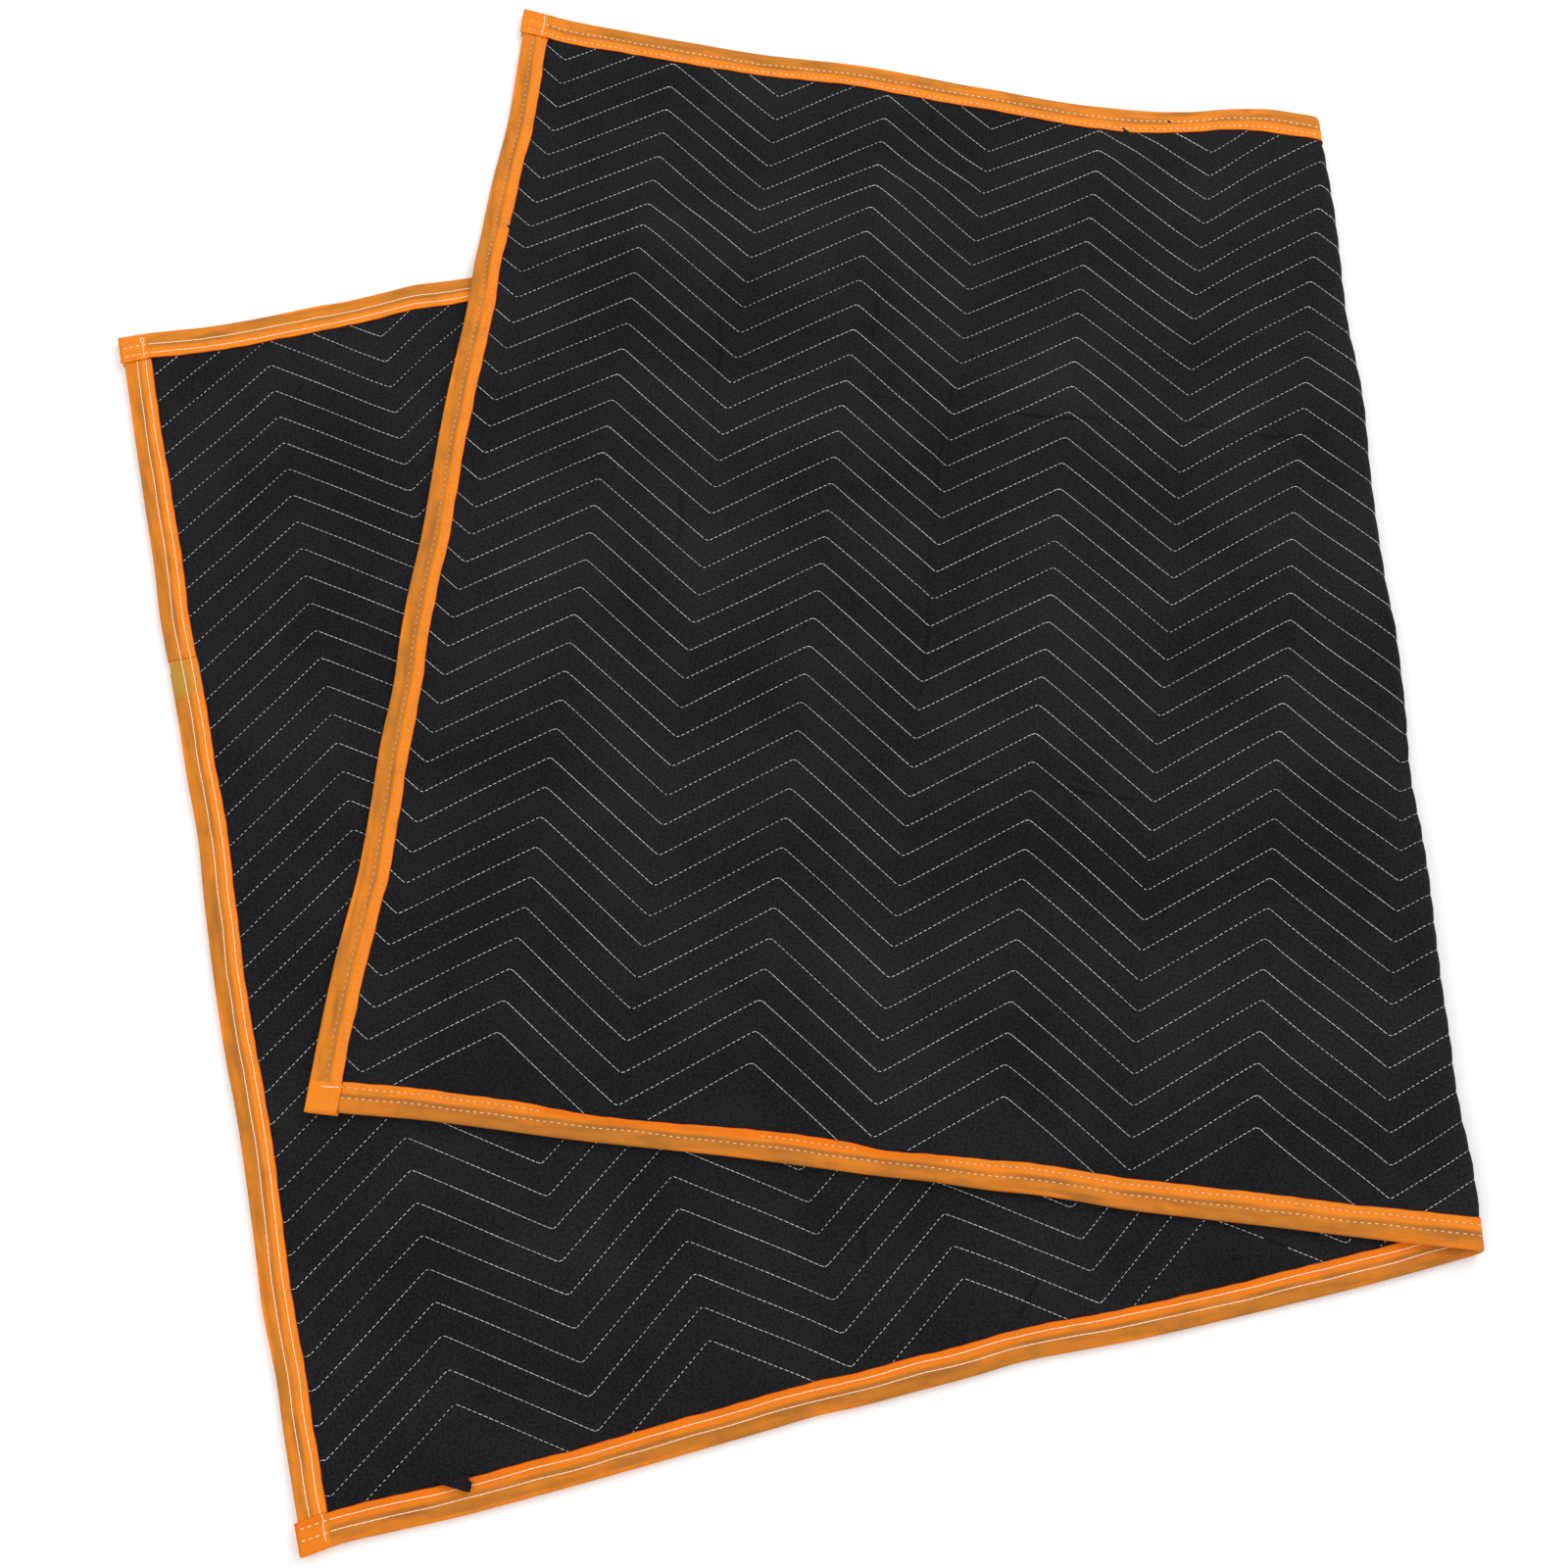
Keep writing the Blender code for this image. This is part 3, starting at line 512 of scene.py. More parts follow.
def smooth_step(share):
    """Ease from 0 to 1 while share goes from 0 to 1: 3 s squared minus 2 s cubed."""
    share = np.clip(share, 0.0, 1.0)
    return share * share * (3.0 - 2.0 * share)


def read_table(table, share):
    """Second column of a table in millimetres, read at share as metres, on a smooth curve.

    Each span is a cubic with the table's own slopes at both ends, which are the mean slopes of
    the spans that meet there.
    """
    place, height = np.array(table, float).T
    slope = np.gradient(height, place)
    k = np.clip(np.searchsorted(place, share) - 1, 0, len(place) - 2)
    run = place[k + 1] - place[k]
    t = np.clip((share - place[k]) / run, 0.0, 1.0)
    rise = smooth_step(t)
    bend = t * (1.0 - t) * run * ((1.0 - t) * slope[k] - t * slope[k + 1])
    return ((1.0 - rise) * height[k] + rise * height[k + 1] + bend) / 1000.0


def ripple(place, seed, wavelength):
    """Smooth unevenness between about -1 and 1: the mean of three sines of unlike wavelengths."""
    phases = np.random.default_rng(seed).uniform(0.0, 2.0 * math.pi, 3)
    turns = 2.0 * math.pi * np.asarray(place)[..., None] / wavelength
    return np.sin(turns * np.array((1.0, 0.61, 1.73)) + phases).mean(axis=-1) * 1.4


def edge_normal(start, end, inside):
    """Unit vector on the floor square to an edge and away from a point inside the outline."""
    run = np.subtract(end, start)
    normal = np.array((run[1], -run[0])) / np.hypot(*run)
    return normal if np.dot(normal, np.subtract(start, inside)) > 0 else -normal


class Layer:
    """One of the two layers of the folded pad: its edges on the floor and their unevenness."""

    def __init__(self, side, near, far, tables):
        self.side = side
        self.near = near
        self.far = far
        self.tables = tables

    def place(self, run, across):
        """Point between straight edges: run is 0 at the free end, across 0 at the near edge."""
        run, across = run[:, None], across[:, None]
        near = (1 - run) * np.array(self.near[0]) + run * np.array(self.near[1])
        far = (1 - run) * np.array(self.far[0]) + run * np.array(self.far[1])
        return (1 - across) * near + across * far

    def shift(self, shares, across):
        """Shift by the uneven edges, fading with the square of the distance from each edge.

        shares are the shares of the way to the fold along the near edge, along the far edge and
        at the point itself.
        """
        near_table, far_table, end_table = self.tables
        near_share, far_share, run = (share[:, None] for share in shares)
        across = across[:, None]
        near, far = self.near, self.far
        middle = np.mean((*near, *far), axis=0)
        edges = (
            (1 - across, near_table, near_share, near),
            (across, far_table, far_share, far),
            (1 - run, end_table, across, (near[0], far[0])),
            (run, FOLD_EDGE, across, (near[1], far[1])),
        )
        moved = 0.0
        for nearness, table, share, edge in edges:
            moved = moved + nearness ** 2 * read_table(table, share) * edge_normal(*edge, middle)
        return moved


BASE = Layer(
    1.0, (BASE_NEAR_CORNER, FOLD_NEAR_END), (BASE_FAR_CORNER, FOLD_FAR_END),
    (BASE_NEAR_EDGE, BASE_FAR_EDGE, END_A_EDGE),
)
LAP = Layer(
    -1.0, (LAP_NEAR_CORNER, FOLD_NEAR_END), (LAP_FAR_CORNER, FOLD_FAR_END),
    (LAP_NEAR_EDGE, LAP_FAR_EDGE, END_B_EDGE),
)


class Lay:
    """The pad laid open, and where each of its points lies once it is folded."""

    def __init__(self, sizes):
        self.length = sizes.pad_length
        self.width = sizes.pad_width
        self.crest = sizes.thickness / 2
        self.groove = sizes.sewn_thickness / 2
        self.pitch = sizes.row_pitch
        self.half_period = sizes.half_period
        self.rise = sizes.zigzag_rise
        self.tape = sizes.tape_thickness
        self.skew = math.atan((FOLD_AT_FAR_EDGE - FOLD_AT_NEAR_EDGE) / self.width)
        self.bend_radius = np.mean([row[1] for row in FOLD_BULGE]) / 1000.0
        self.tucked_half = CORNER_CORE_HALF + SEWN_GAP + self.tape
        self.corner_half = CORNER_CORE_HALF + 2.0 * (SEWN_GAP + self.tape)
        self.under_tape = TAPE_WIDTH + 2.0 * self.tape
        middle = np.mean((BASE_NEAR_CORNER, BASE_FAR_CORNER), axis=0)
        self.outward = edge_normal(FOLD_NEAR_END, FOLD_FAR_END, middle)
        self.crossing, self.past_normal = self.base_edge_on_lap()

    def fold_at(self, v):
        """Place of the fold along the length: a straight line, slanting over the width."""
        return FOLD_AT_NEAR_EDGE + (FOLD_AT_FAR_EDGE - FOLD_AT_NEAR_EDGE) * v / self.width

    def ground(self, layer, u, v, inward):
        """Floor position of a layer's point, moved inward from the fold."""
        on_base = layer.side > 0

        def to_fold(at):
            return self.fold_at(at) if on_base else self.length - self.fold_at(at)

        from_end = u if on_base else self.length - u
        moved_v = v + layer.side * inward * math.sin(self.skew)
        moved = from_end - inward * math.cos(self.skew)
        point = layer.place(moved / to_fold(moved_v), moved_v / self.width)
        shares = (
            from_end / to_fold(0.0), from_end / to_fold(self.width),
            np.clip(from_end / to_fold(v), 0.0, 1.0),
        )
        return point + layer.shift(shares, v / self.width)

    def base_edge_on_lap(self):
        """The lower layer's far edge seen on the flat upper layer: a point and a unit normal."""
        v = np.linspace(0.0, self.width, EDGE_SAMPLES)
        free_end = self.ground(LAP, np.full_like(v, self.length), v, np.zeros_like(v))
        start = np.array(BASE_FAR_CORNER)
        run = np.subtract(FOLD_FAR_END, start)
        past_edge = (free_end - start) @ np.array((-run[1], run[0]))
        crossing = np.array((self.length, np.interp(0.0, past_edge, v)))
        along = np.array((FOLD_AT_FAR_EDGE, self.width)) - crossing
        return crossing, np.array((along[1], -along[0])) / np.hypot(*along)

    def lap_level(self, u, v, point):
        """Height of the middle of the upper layer: its drape, plus humps and packing creases.

        A hump eases from its height at the middle to 0 at its radius. A crease is a ridge beside
        a trough: 1.65 times distance times the bell curve of distance, which peaks at 1, fading
        out at both ends.
        """
        past_edge = (u - self.crossing[0]) * self.past_normal[0]
        past_edge += (v - self.crossing[1]) * self.past_normal[1]
        level = read_table(DRAPE, past_edge * 1000.0)
        for x, y, radius, peak in HUMPS:
            distance = np.hypot(point[:, 0] - x, point[:, 1] - y)
            level += peak / 1000.0 * smooth_step(1.0 - distance / (radius / 1000.0))
        for x, y, end_x, end_y, half_width, height, _ in CREASES:
            run = np.array((end_x - x, end_y - y))
            reach = np.hypot(*run)
            along = (point - np.array((x, y))) @ run / reach
            aside = (point - np.array((x, y))) @ np.array((-run[1], run[0])) / reach
            aside = aside + CREASE_WANDER * ripple(along, CREASE_SEED, CREASE_WAVELENGTH)
            aside = aside / (half_width / 1000.0)
            ends = smooth_step(along / CREASE_ENDS) * smooth_step((reach - along) / CREASE_ENDS)
            level -= height / 1000.0 * ends * 1.65 * aside * np.exp(-aside * aside / 2.0)
        return level

    def lift(self, point):
        """Faint waves that both layers share: a sum of sines, kept above the floor."""
        height = np.zeros(len(point))
        for direction, wavelength, peak, phase in WAVES:
            angle = math.radians(direction)
            heading = np.array((math.cos(angle), math.sin(angle)))
            turn = 2.0 * math.pi * (point @ heading) / (wavelength / 1000.0) + phase
            height += peak / 1000.0 * (1.0 + np.sin(turn))
        return height

    def edge_distance(self, u, v):
        """Distances of flat points from the nearer end and from the nearer long edge."""
        return np.minimum(u, self.length - u), np.minimum(v, self.width - v)

    def corner_share(self, u, v, spread):
        """1 in the four corner squares, easing to 0 over the spread."""
        from_end, from_side = self.edge_distance(u, v)
        along = smooth_step(1.0 - (from_end - self.under_tape) / spread)
        return along * smooth_step(1.0 - (from_side - self.under_tape) / spread)

    def placed(self, u, v, w):
        """Fold the flat pad: positions of points (u, v, w) in the room.

        Square to the fold the cloth runs flat, goes round a half circle of the bulge radius, and
        settles back onto the lower layer.
        """
        past = (u - self.fold_at(v)) * math.cos(self.skew)
        radius = read_table(FOLD_BULGE, v / self.width)
        turn = np.clip(past / self.bend_radius, -0.5 * math.pi, 0.5 * math.pi)
        cosine, sine = np.cos(turn), np.sin(turn)
        beyond = np.maximum(np.abs(past) - 0.5 * math.pi * self.bend_radius, 0.0)
        reach = self.crest + radius * (1.0 - cosine) + beyond
        blend = (0.5 + 0.5 * sine)[:, None]
        point = self.ground(BASE, u, v, reach + past) * (1.0 - blend)
        point += self.ground(LAP, u, v, reach - past) * blend

        settled = smooth_step(beyond / SETTLE_LENGTH) * (past > 0.0)
        top = self.crest + 2.0 * radius
        height = self.crest + radius * (1.0 + sine)
        height += settled * (self.lap_level(u, v, point) - top)
        height += (self.corner_half - self.crest) * self.corner_share(u, v, CORNER_SPREAD)
        height += self.lift(point)
        point = point - (w * cosine)[:, None] * self.outward
        return np.column_stack((point, height - w * sine))

    def zigzag(self, u):
        """0 at the peaks of the quilting and 1 at its valleys: straight legs with round tips.

        Within the rounding of a tip the leg's distance d becomes (d squared + r squared) / 2r.
        """
        turn = np.mod((u - FIRST_PEAK) / self.half_period, 2.0)
        share = np.minimum(turn, 2.0 - turn)
        tip = TIP_ROUNDING / self.half_period
        near = np.minimum(share, 1.0 - share)
        soft = np.where(near < tip, (near * near + tip * tip) / (2.0 * tip), near)
        return np.where(share < 0.5, soft, 1.0 - soft)

    def drift(self, place, across):
        """How far the sewn rows lie from their even places, along and across the pad.

        Between the near edge, the middle and the far edge it follows a parabola, and it fades out
        under the tapes of both ends.
        """
        share = np.clip(across / self.width, 0.0, 1.0)
        weights = ((1.0 - share) * (1.0 - 2.0 * share), 4.0 * share * (1.0 - share))
        weights += (share * (2.0 * share - 1.0),)
        fading = smooth_step(place / DRIFT_FADE) * smooth_step((self.length - place) / DRIFT_FADE)
        beside = np.clip(1.0 - across / NEAR_DRIFT_REACH, 0.0, 1.0)
        moves = []
        for first, extra in ((1, 1), (4, 2)):
            columns = [[(row[0], row[first + k]) for row in SEWN_DRIFT] for k in range(3)]
            tables = [read_table(column, place) for column in columns]
            move = sum(weight * table for weight, table in zip(weights, tables))
            move += beside * read_table([(row[0], row[extra]) for row in NEAR_DRIFT], place)
            moves.append(fading * move)
        return moves

    def sewn_to_flat(self, place, row):
        """Flat u and v of a place on the zigzag rows: v = row spacing times row, less the rise
        times the zigzag, then moved by the drift and held between the pad's two edges."""
        v = self.pitch * row - self.rise * self.zigzag(place)
        along, across = self.drift(place, v)
        return place + along, np.clip(v + across, EDGE_INSET, self.width - EDGE_INSET)

    def half(self, place, row, u, v):
        """Half thickness of the pad: an arch between sewn rows, thin under the tape."""
        nearest = np.round(row)
        sewn = (nearest >= FIRST_SEWN_ROW) & (nearest <= LAST_SEWN_ROW)
        share = np.where(sewn, np.abs(row - nearest) / 0.5, 1.0)
        shifted = place + PUFF_SHIFT * np.floor(row)
        uneven = 1.0 + PUFF_UNEVEN * ripple(shifted, PUFF_SEED, PUFF_WAVELENGTH)
        puff = self.groove + (self.crest - self.groove) * uneven * (1.0 - (1.0 - share) ** 2)
        inset = np.minimum(*self.edge_distance(u, v)) - self.under_tape
        corner = self.corner_share(u, v, CORNER_RAMP)
        edge = EDGE_HALF + (CORNER_CORE_HALF - EDGE_HALF) * corner
        return edge + (puff - edge) * smooth_step(inset / PUFF_RAMP)


class Surface:
    """A grid of points over two parameters, read between its points as flat facets."""

    def __init__(self, along, across, points):
        self.along = along
        self.across = across
        self.points = points
        normals = np.cross(np.gradient(points, axis=0), np.gradient(points, axis=1))
        self.normals = normals / np.maximum(np.linalg.norm(normals, axis=-1, keepdims=True), 1e-12)

    def read(self, along, across):
        """Point and unit normal at two parameters, weighted between the four grid points."""
        i = np.clip(np.searchsorted(self.along, along) - 1, 0, len(self.along) - 2)
        j = np.clip(np.searchsorted(self.across, across) - 1, 0, len(self.across) - 2)
        s = ((along - self.along[i]) / (self.along[i + 1] - self.along[i]))[:, None]
        t = ((across - self.across[j]) / (self.across[j + 1] - self.across[j]))[:, None]
        found = []
        for field in (self.points, self.normals):
            near = field[i, j] * (1 - s) + field[i + 1, j] * s
            far = field[i, j + 1] * (1 - s) + field[i + 1, j + 1] * s
            found.append(near * (1 - t) + far * t)
        point, normal = found
        return point, normal / np.linalg.norm(normal, axis=-1, keepdims=True)


def split_quads(quads):
    """Two triangles for each quad."""
    return np.vstack((quads[:, (0, 1, 2)], quads[:, (0, 2, 3)]))


def facing_outward(points, triangles):
    """The triangles, turned round if they enclose a negative volume."""
    a, b, c = (points[triangles[:, k]] for k in range(3))
    volume = np.einsum("ij,ij->", a, np.cross(b, c))
    return triangles if volume > 0 else triangles[:, ::-1]


def mesh_object(name, points, triangles, material, maps=(), attributes=()):
    """Smooth mesh object at the origin; maps are (name, two numbers for each point)."""
    triangles = facing_outward(points, triangles).astype(np.int32)
    mesh = bpy.data.meshes.new(name)
    mesh.vertices.add(len(points))
    mesh.vertices.foreach_set("co", points.astype(np.float32).ravel())
    mesh.loops.add(triangles.size)
    mesh.loops.foreach_set("vertex_index", triangles.ravel())
    mesh.polygons.add(len(triangles))
    mesh.polygons.foreach_set("loop_start", np.arange(0, triangles.size, 3, dtype=np.int32))
    mesh.update(calc_edges=True)
    mesh.validate()
    mesh.shade_smooth()
    for map_name, places in maps:
        layer = mesh.uv_layers.new(name=map_name)
        layer.uv.foreach_set("vector", places[triangles.ravel()].astype(np.float32).ravel())
    for attribute_name, values in attributes:
        attribute = mesh.attributes.new(attribute_name, "FLOAT", "POINT")
        attribute.data.foreach_set("value", values.astype(np.float32))
    mesh.materials.append(material)
    item = bpy.data.objects.new(name, mesh)
    bpy.context.scene.collection.objects.link(item)
    return item


def grip(item, slot, *nodes):
    """The piece rides with the pad's one body and hides the solids that it stands for. The slot is
    not used.
    """
    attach(item, "root")
    if nodes:
        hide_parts(*nodes)
    return item


def quilt_columns(lay):
    """Places of the cloth's columns: close together at each tip, and at creases and the fold."""
    first = math.floor(-FIRST_PEAK / lay.half_period)
    last = math.ceil((lay.length - FIRST_PEAK) / lay.half_period)
    tips = FIRST_PEAK + lay.half_period * np.arange(first, last + 1)
    near_tips = (tips[:, None] + np.array(TIP_COLUMNS)).ravel()
    places = [near_tips]
    for start, end, step in COLUMN_STEPS:
        between = np.arange(start, end, step)
        from_tip = np.abs(between[:, None] - near_tips).min(axis=1)
        places.append(between[from_tip > TIP_CLEARANCE * step])
    places = np.sort(np.concatenate(places))
    inside = (places > EDGE_INSET + 0.001) & (places < lay.length - EDGE_INSET - 0.001)
    return np.concatenate(((EDGE_INSET,), places[inside], (lay.length - EDGE_INSET,)))


def quilt_rows(lay):
    """Rows of the cloth's grid, counted in row spacings: each sewn row is one of them."""
    count = math.ceil((lay.width + lay.rise) / lay.pitch) + 1
    return (np.arange(-1, count)[:, None] + np.array(ROW_SHARES)).ravel()


def quilted_faces(lay):
    """The pad's two faces as surfaces over (place, row), and where each grid point lies flat."""
    columns, rows = quilt_columns(lay), quilt_rows(lay)
    place, row = (grid.ravel() for grid in np.meshgrid(columns, rows, indexing="ij"))
    u, v = lay.sewn_to_flat(place, row)
    half = lay.half(place, row, u, v)
    shape = (len(columns), len(rows))
    faces = [
        Surface(columns, rows, lay.placed(u, v, side * half).reshape(*shape, 3))
        for side in (1.0, -1.0)
    ]
    return faces, u.reshape(shape), v.reshape(shape)


def clamped_numbers(flat_v, lay):
    """Number of the point that stands for each grid point: those held at an edge become one."""
    numbers = np.arange(flat_v.size).reshape(flat_v.shape)
    column = np.arange(len(flat_v))
    at_near = flat_v <= EDGE_INSET
    at_far = flat_v >= lay.width - EDGE_INSET
    last_near = np.maximum(at_near.sum(axis=1) - 1, 0)
    first_far = np.minimum(flat_v.shape[1] - at_far.sum(axis=1), flat_v.shape[1] - 1)
    numbers = np.where(at_near, numbers[column, last_near][:, None], numbers)
    return np.where(at_far, numbers[column, first_far][:, None], numbers)


def sheet_triangles(numbers, count):
    """Triangles of a closed sheet: a grid of point numbers, its copy on the other face, whose
    numbers are higher by the count, and the rim between them. Those of no area are left out."""
    corners = (numbers[:-1, :-1], numbers[1:, :-1], numbers[1:, 1:], numbers[:-1, 1:])
    face = split_quads(np.column_stack([corner.ravel() for corner in corners]))
    a, b, c = face.T
    face = face[(a != b) & (b != c) & (c != a)]
    loop = np.concatenate((numbers[:, 0], numbers[-1], numbers[::-1, -1], numbers[0, ::-1]))
    loop = loop[loop != np.roll(loop, 1)]
    following = np.roll(loop, -1)
    rim = split_quads(np.column_stack((loop, following, following + count, loop + count)))
    return np.vstack((face, face[:, ::-1] + count, rim[:, ::-1]))


def tube_quads(around, rings):
    """Quads between rings of points, when the points are numbered one ring after another."""
    k = np.arange(around)
    following = (k + 1) % around
    strip = np.column_stack((k, following, following + around, k + around))
    return (strip[None] + around * np.arange(rings - 1)[:, None, None]).reshape(-1, 4)


def build_cloth(lay, material):
    """The quilted pad as one closed sheet: both faces, and the rim that joins them."""
    (face_1, face_2), flat_u, flat_v = quilted_faces(lay)
    triangles = sheet_triangles(clamped_numbers(flat_v, lay), flat_v.size)
    points = np.vstack((face_1.points.reshape(-1, 3), face_2.points.reshape(-1, 3)))
    flat = np.column_stack((flat_u.ravel(), flat_v.ravel()))
    places, rows = np.meshgrid(face_1.along, face_1.across, indexing="ij")
    quilt = np.column_stack((places.ravel(), rows.ravel()))

    used, compact = np.unique(triangles, return_inverse=True)
    triangles = compact.reshape(triangles.shape)
    maps = [("Flat", np.vstack((flat, flat))[used]), ("Quilt", np.vstack((quilt, quilt))[used])]
    item = mesh_object("quilted_cloth", points[used], triangles, material, maps)
    return grip(item, "black_quilted_cloth", "quilted_pad")


def stitch_mesh(surface, side, starts, ends, profile, rings):
    """Stitches on a surface, each a small closed bar from its start to its end.

    starts and ends are parameters on the surface, a row for each stitch. profile is the bar's
    section: (metres across, metres up, share by which this line is shorter at each end). rings
    are the places along it: (share of the way, scale of the width, scale of the height). It
    returns the points, the triangles and the scale of the height at each point.
    """
    first, _ = surface.read(*starts.T)
    last, _ = surface.read(*ends.T)
    heading = last - first
    heading /= np.linalg.norm(heading, axis=1, keepdims=True)
    layers = []
    for share, width_scale, height_scale in rings:
        for across, up, shorter in profile:
            place = starts + (ends - starts) * (share + shorter * (1.0 - 2.0 * share))
            point, normal = surface.read(*place.T)
            normal = side * normal
            lateral = np.cross(normal, heading)
            lateral /= np.linalg.norm(lateral, axis=1, keepdims=True)
            layers.append(point + lateral * across * width_scale + normal * up * height_scale)
    points = np.stack(layers, axis=1)

    sides, turns = len(profile), len(rings)
    fan = np.array([(0, n, n + 1) for n in range(1, sides - 1)])
    tube = split_quads(tube_quads(sides, turns))
    one = np.vstack((tube, fan[:, ::-1], fan + sides * (turns - 1)))
    per_stitch = sides * turns
    triangles = one[None] + per_stitch * np.arange(len(starts))[:, None, None]
    shades = np.repeat([ring[2] for ring in rings], sides)
    return points.reshape(-1, 3), triangles.reshape(-1, 3), np.tile(shades, len(starts))


def quilt_stitch_places(lay, sizes, face):
    """Start and end of each quilting stitch as (place, row): equal steps along each zigzag row.

    Rows differ a little in phase and in how much of each step the thread shows. Seen from above
    it shows in dashes on the legs that rise to the right and almost whole on the others.
    """
    rng = np.random.default_rng(STITCH_SEED + face)
    place = np.linspace(0.0, lay.length, ROW_SAMPLES)
    v = -lay.rise * lay.zigzag(place)
    length = np.concatenate(((0.0,), np.cumsum(np.hypot(np.diff(place), np.diff(v)))))
    steps = np.arange(0.0, length[-1] - 2.0 * sizes.quilt_stitch, sizes.quilt_stitch)
    slope = np.gradient(v, place)
    dashed, whole = QUILT_THREAD_SHOWN[face]
    starts, ends = [], []
    for row in range(FIRST_SEWN_ROW, LAST_SEWN_ROW + 1):
        begin = steps + rng.uniform(0.0, sizes.quilt_stitch)
        rises = (slope[np.searchsorted(length, begin)] > 0) == (face == 1)
        tension = rng.normal(0.0, ROW_TENSION)
        tension = tension + WAVE_TENSION * ripple(begin + row, TENSION_SEED, TENSION_WAVELENGTH)
        uneven = rng.normal(0.0, STITCH_TENSION, len(begin))
        shown = np.where(rises, dashed, whole) + tension + uneven
        finish = begin + np.clip(shown, *QUILT_SHOWN_LIMITS) * sizes.quilt_stitch
        begin, finish = (np.interp(at, length, place) for at in (begin, finish))
        u, middle_v = lay.sewn_to_flat(0.5 * (begin + finish), np.full(len(begin), float(row)))
        seen = np.minimum(*lay.edge_distance(u, middle_v)) > SEWN_UNDER_TAPE
        for skipped_row, start, end in SKIPPED:
            seen &= (row != skipped_row) | (face == 2) | (begin < start) | (begin > end)
        starts.append(np.column_stack((begin, np.full_like(begin, row)))[seen])
        ends.append(np.column_stack((finish, np.full_like(finish, row)))[seen])
    return np.vstack(starts), np.vstack(ends)


def build_quilting(lay, sizes, colours):
    """The thread of the zigzag rows on each face: one piece of many small stitches a face."""
    faces, _, _ = quilted_faces(lay)
    half = sizes.quilt_thread / 2.0
    top = (0.0, QUILT_RAISED, QUILT_TOP_SHORTER)
    profile = ((-half, -QUILT_SUNK, 0.0), (half, -QUILT_SUNK, 0.0), top)
    material = quilting_thread(colours)
    for face, surface, side in ((1, faces[0], 1.0), (2, faces[1], -1.0)):
        starts, ends = quilt_stitch_places(lay, sizes, face)
        points, triangles, _ = stitch_mesh(surface, side, starts, ends, profile, QUILT_RINGS)
        item = mesh_object(f"quilting_thread_face_{face}", points, triangles, material)
        grip(item, "black_quilted_cloth")


class Tape:
    """One binding tape: where it runs, how thick it is along its way, and its two seams."""

    def __init__(self, lay, name):
        self.lay = lay
        self.name = name
        kind, side = name.split("_")
        self.long = kind == "long"
        self.at_start = side in ("a", "near")
        self.run = lay.length if self.long else lay.width
        self.corners = (("a", side), ("b", side)) if self.long else ((side, "near"), (side, "far"))
        self.covers = [TOP_TAPE[corner] == kind for corner in self.corners]
        inset = [-TAPE_END_OVERHANG if over else SEWN_GAP + lay.tape for over in self.covers]
        self.start = inset[0]
        self.end = self.run - inset[1]
        self.seed = sorted(TAPE_LINES).index(name) * 10

    def to_flat(self, station, depth):
        """Flat u and v of a place along the tape, at a depth from the pad's outer edge."""
        edge = 0.0 if self.at_start else (self.lay.width if self.long else self.lay.length)
        aside = edge + depth if self.at_start else edge - depth
        return (station, aside) if self.long else (aside, station)

    def stations(self):
        """Places of the sections: even steps, closer together where the tape bends or steps."""
        places = [np.arange(self.start, self.end, TAPE_STEP), (self.end,)]
        near_corner = self.lay.under_tape + np.linspace(*CORNER_SECTIONS)
        places += [near_corner, self.run - near_corner]
        if self.long:
            fold = self.lay.fold_at(0.0 if self.at_start else self.lay.width)
            places.append(fold + np.linspace(*FOLD_SECTIONS))
        if self.name == "short_a":
            places.append(JOIN_PLACE + np.array(JOIN_SECTIONS))
        places = np.sort(np.concatenate(places))
        return places[np.concatenate(((True,), np.diff(places) > LEAST_TAPE_STEP))]

    def halves(self, stations):
        """Half thickness along the tape, thicker or tucked in at its two corners."""
        halves = np.full_like(stations, self.lay.crest)
        for from_end, over in zip((stations, self.run - stations), self.covers):
            at_end = self.lay.corner_half if over else self.lay.tucked_half
            share = smooth_step(1.0 - (from_end - self.lay.under_tape) / CORNER_RAMP)
            halves += (at_end - self.lay.crest) * share
        return halves

    def rolled(self, stations):
        """How far the inner edge is drawn in where the hem has rolled over, on face 2."""
        return read_table(ROLLED_HEM, stations) * (self.name == "long_near")

    def doubled(self, stations):
        """1 where two lengths of the tape overlap, with a sharp step at the cut end."""
        if self.name != "short_a":
            return np.zeros_like(stations)
        past = smooth_step((JOIN_PLACE - stations) / JOIN_CUT)
        return past * smooth_step((stations - JOIN_PLACE + JOIN_OVERLAP) / JOIN_EASE)

    def line_depths(self, stations):
        """Depth of both seams and of the inner edge along the tape, each a little uneven."""
        height, seed, wavelength = SHARED_RIPPLE
        shared = height * ripple(stations, self.seed + seed, wavelength)
        lines = []
        for k, (height, seed, wavelength) in enumerate(LINE_RIPPLES):
            column = [(row[0], row[k + 1]) for row in TAPE_LINES[self.name]]
            uneven = shared + height * ripple(stations, self.seed + seed, wavelength)
            lines.append(read_table(column, stations / self.run) + uneven)
        return np.array(lines)


def rounded_edge(depth):
    """Share of the full height at a depth from the outer edge: a quarter of a circle."""
    return np.sqrt(1.0 - (1.0 - np.clip(depth / TAPE_NOSE, 0.0, 1.0)) ** 2)


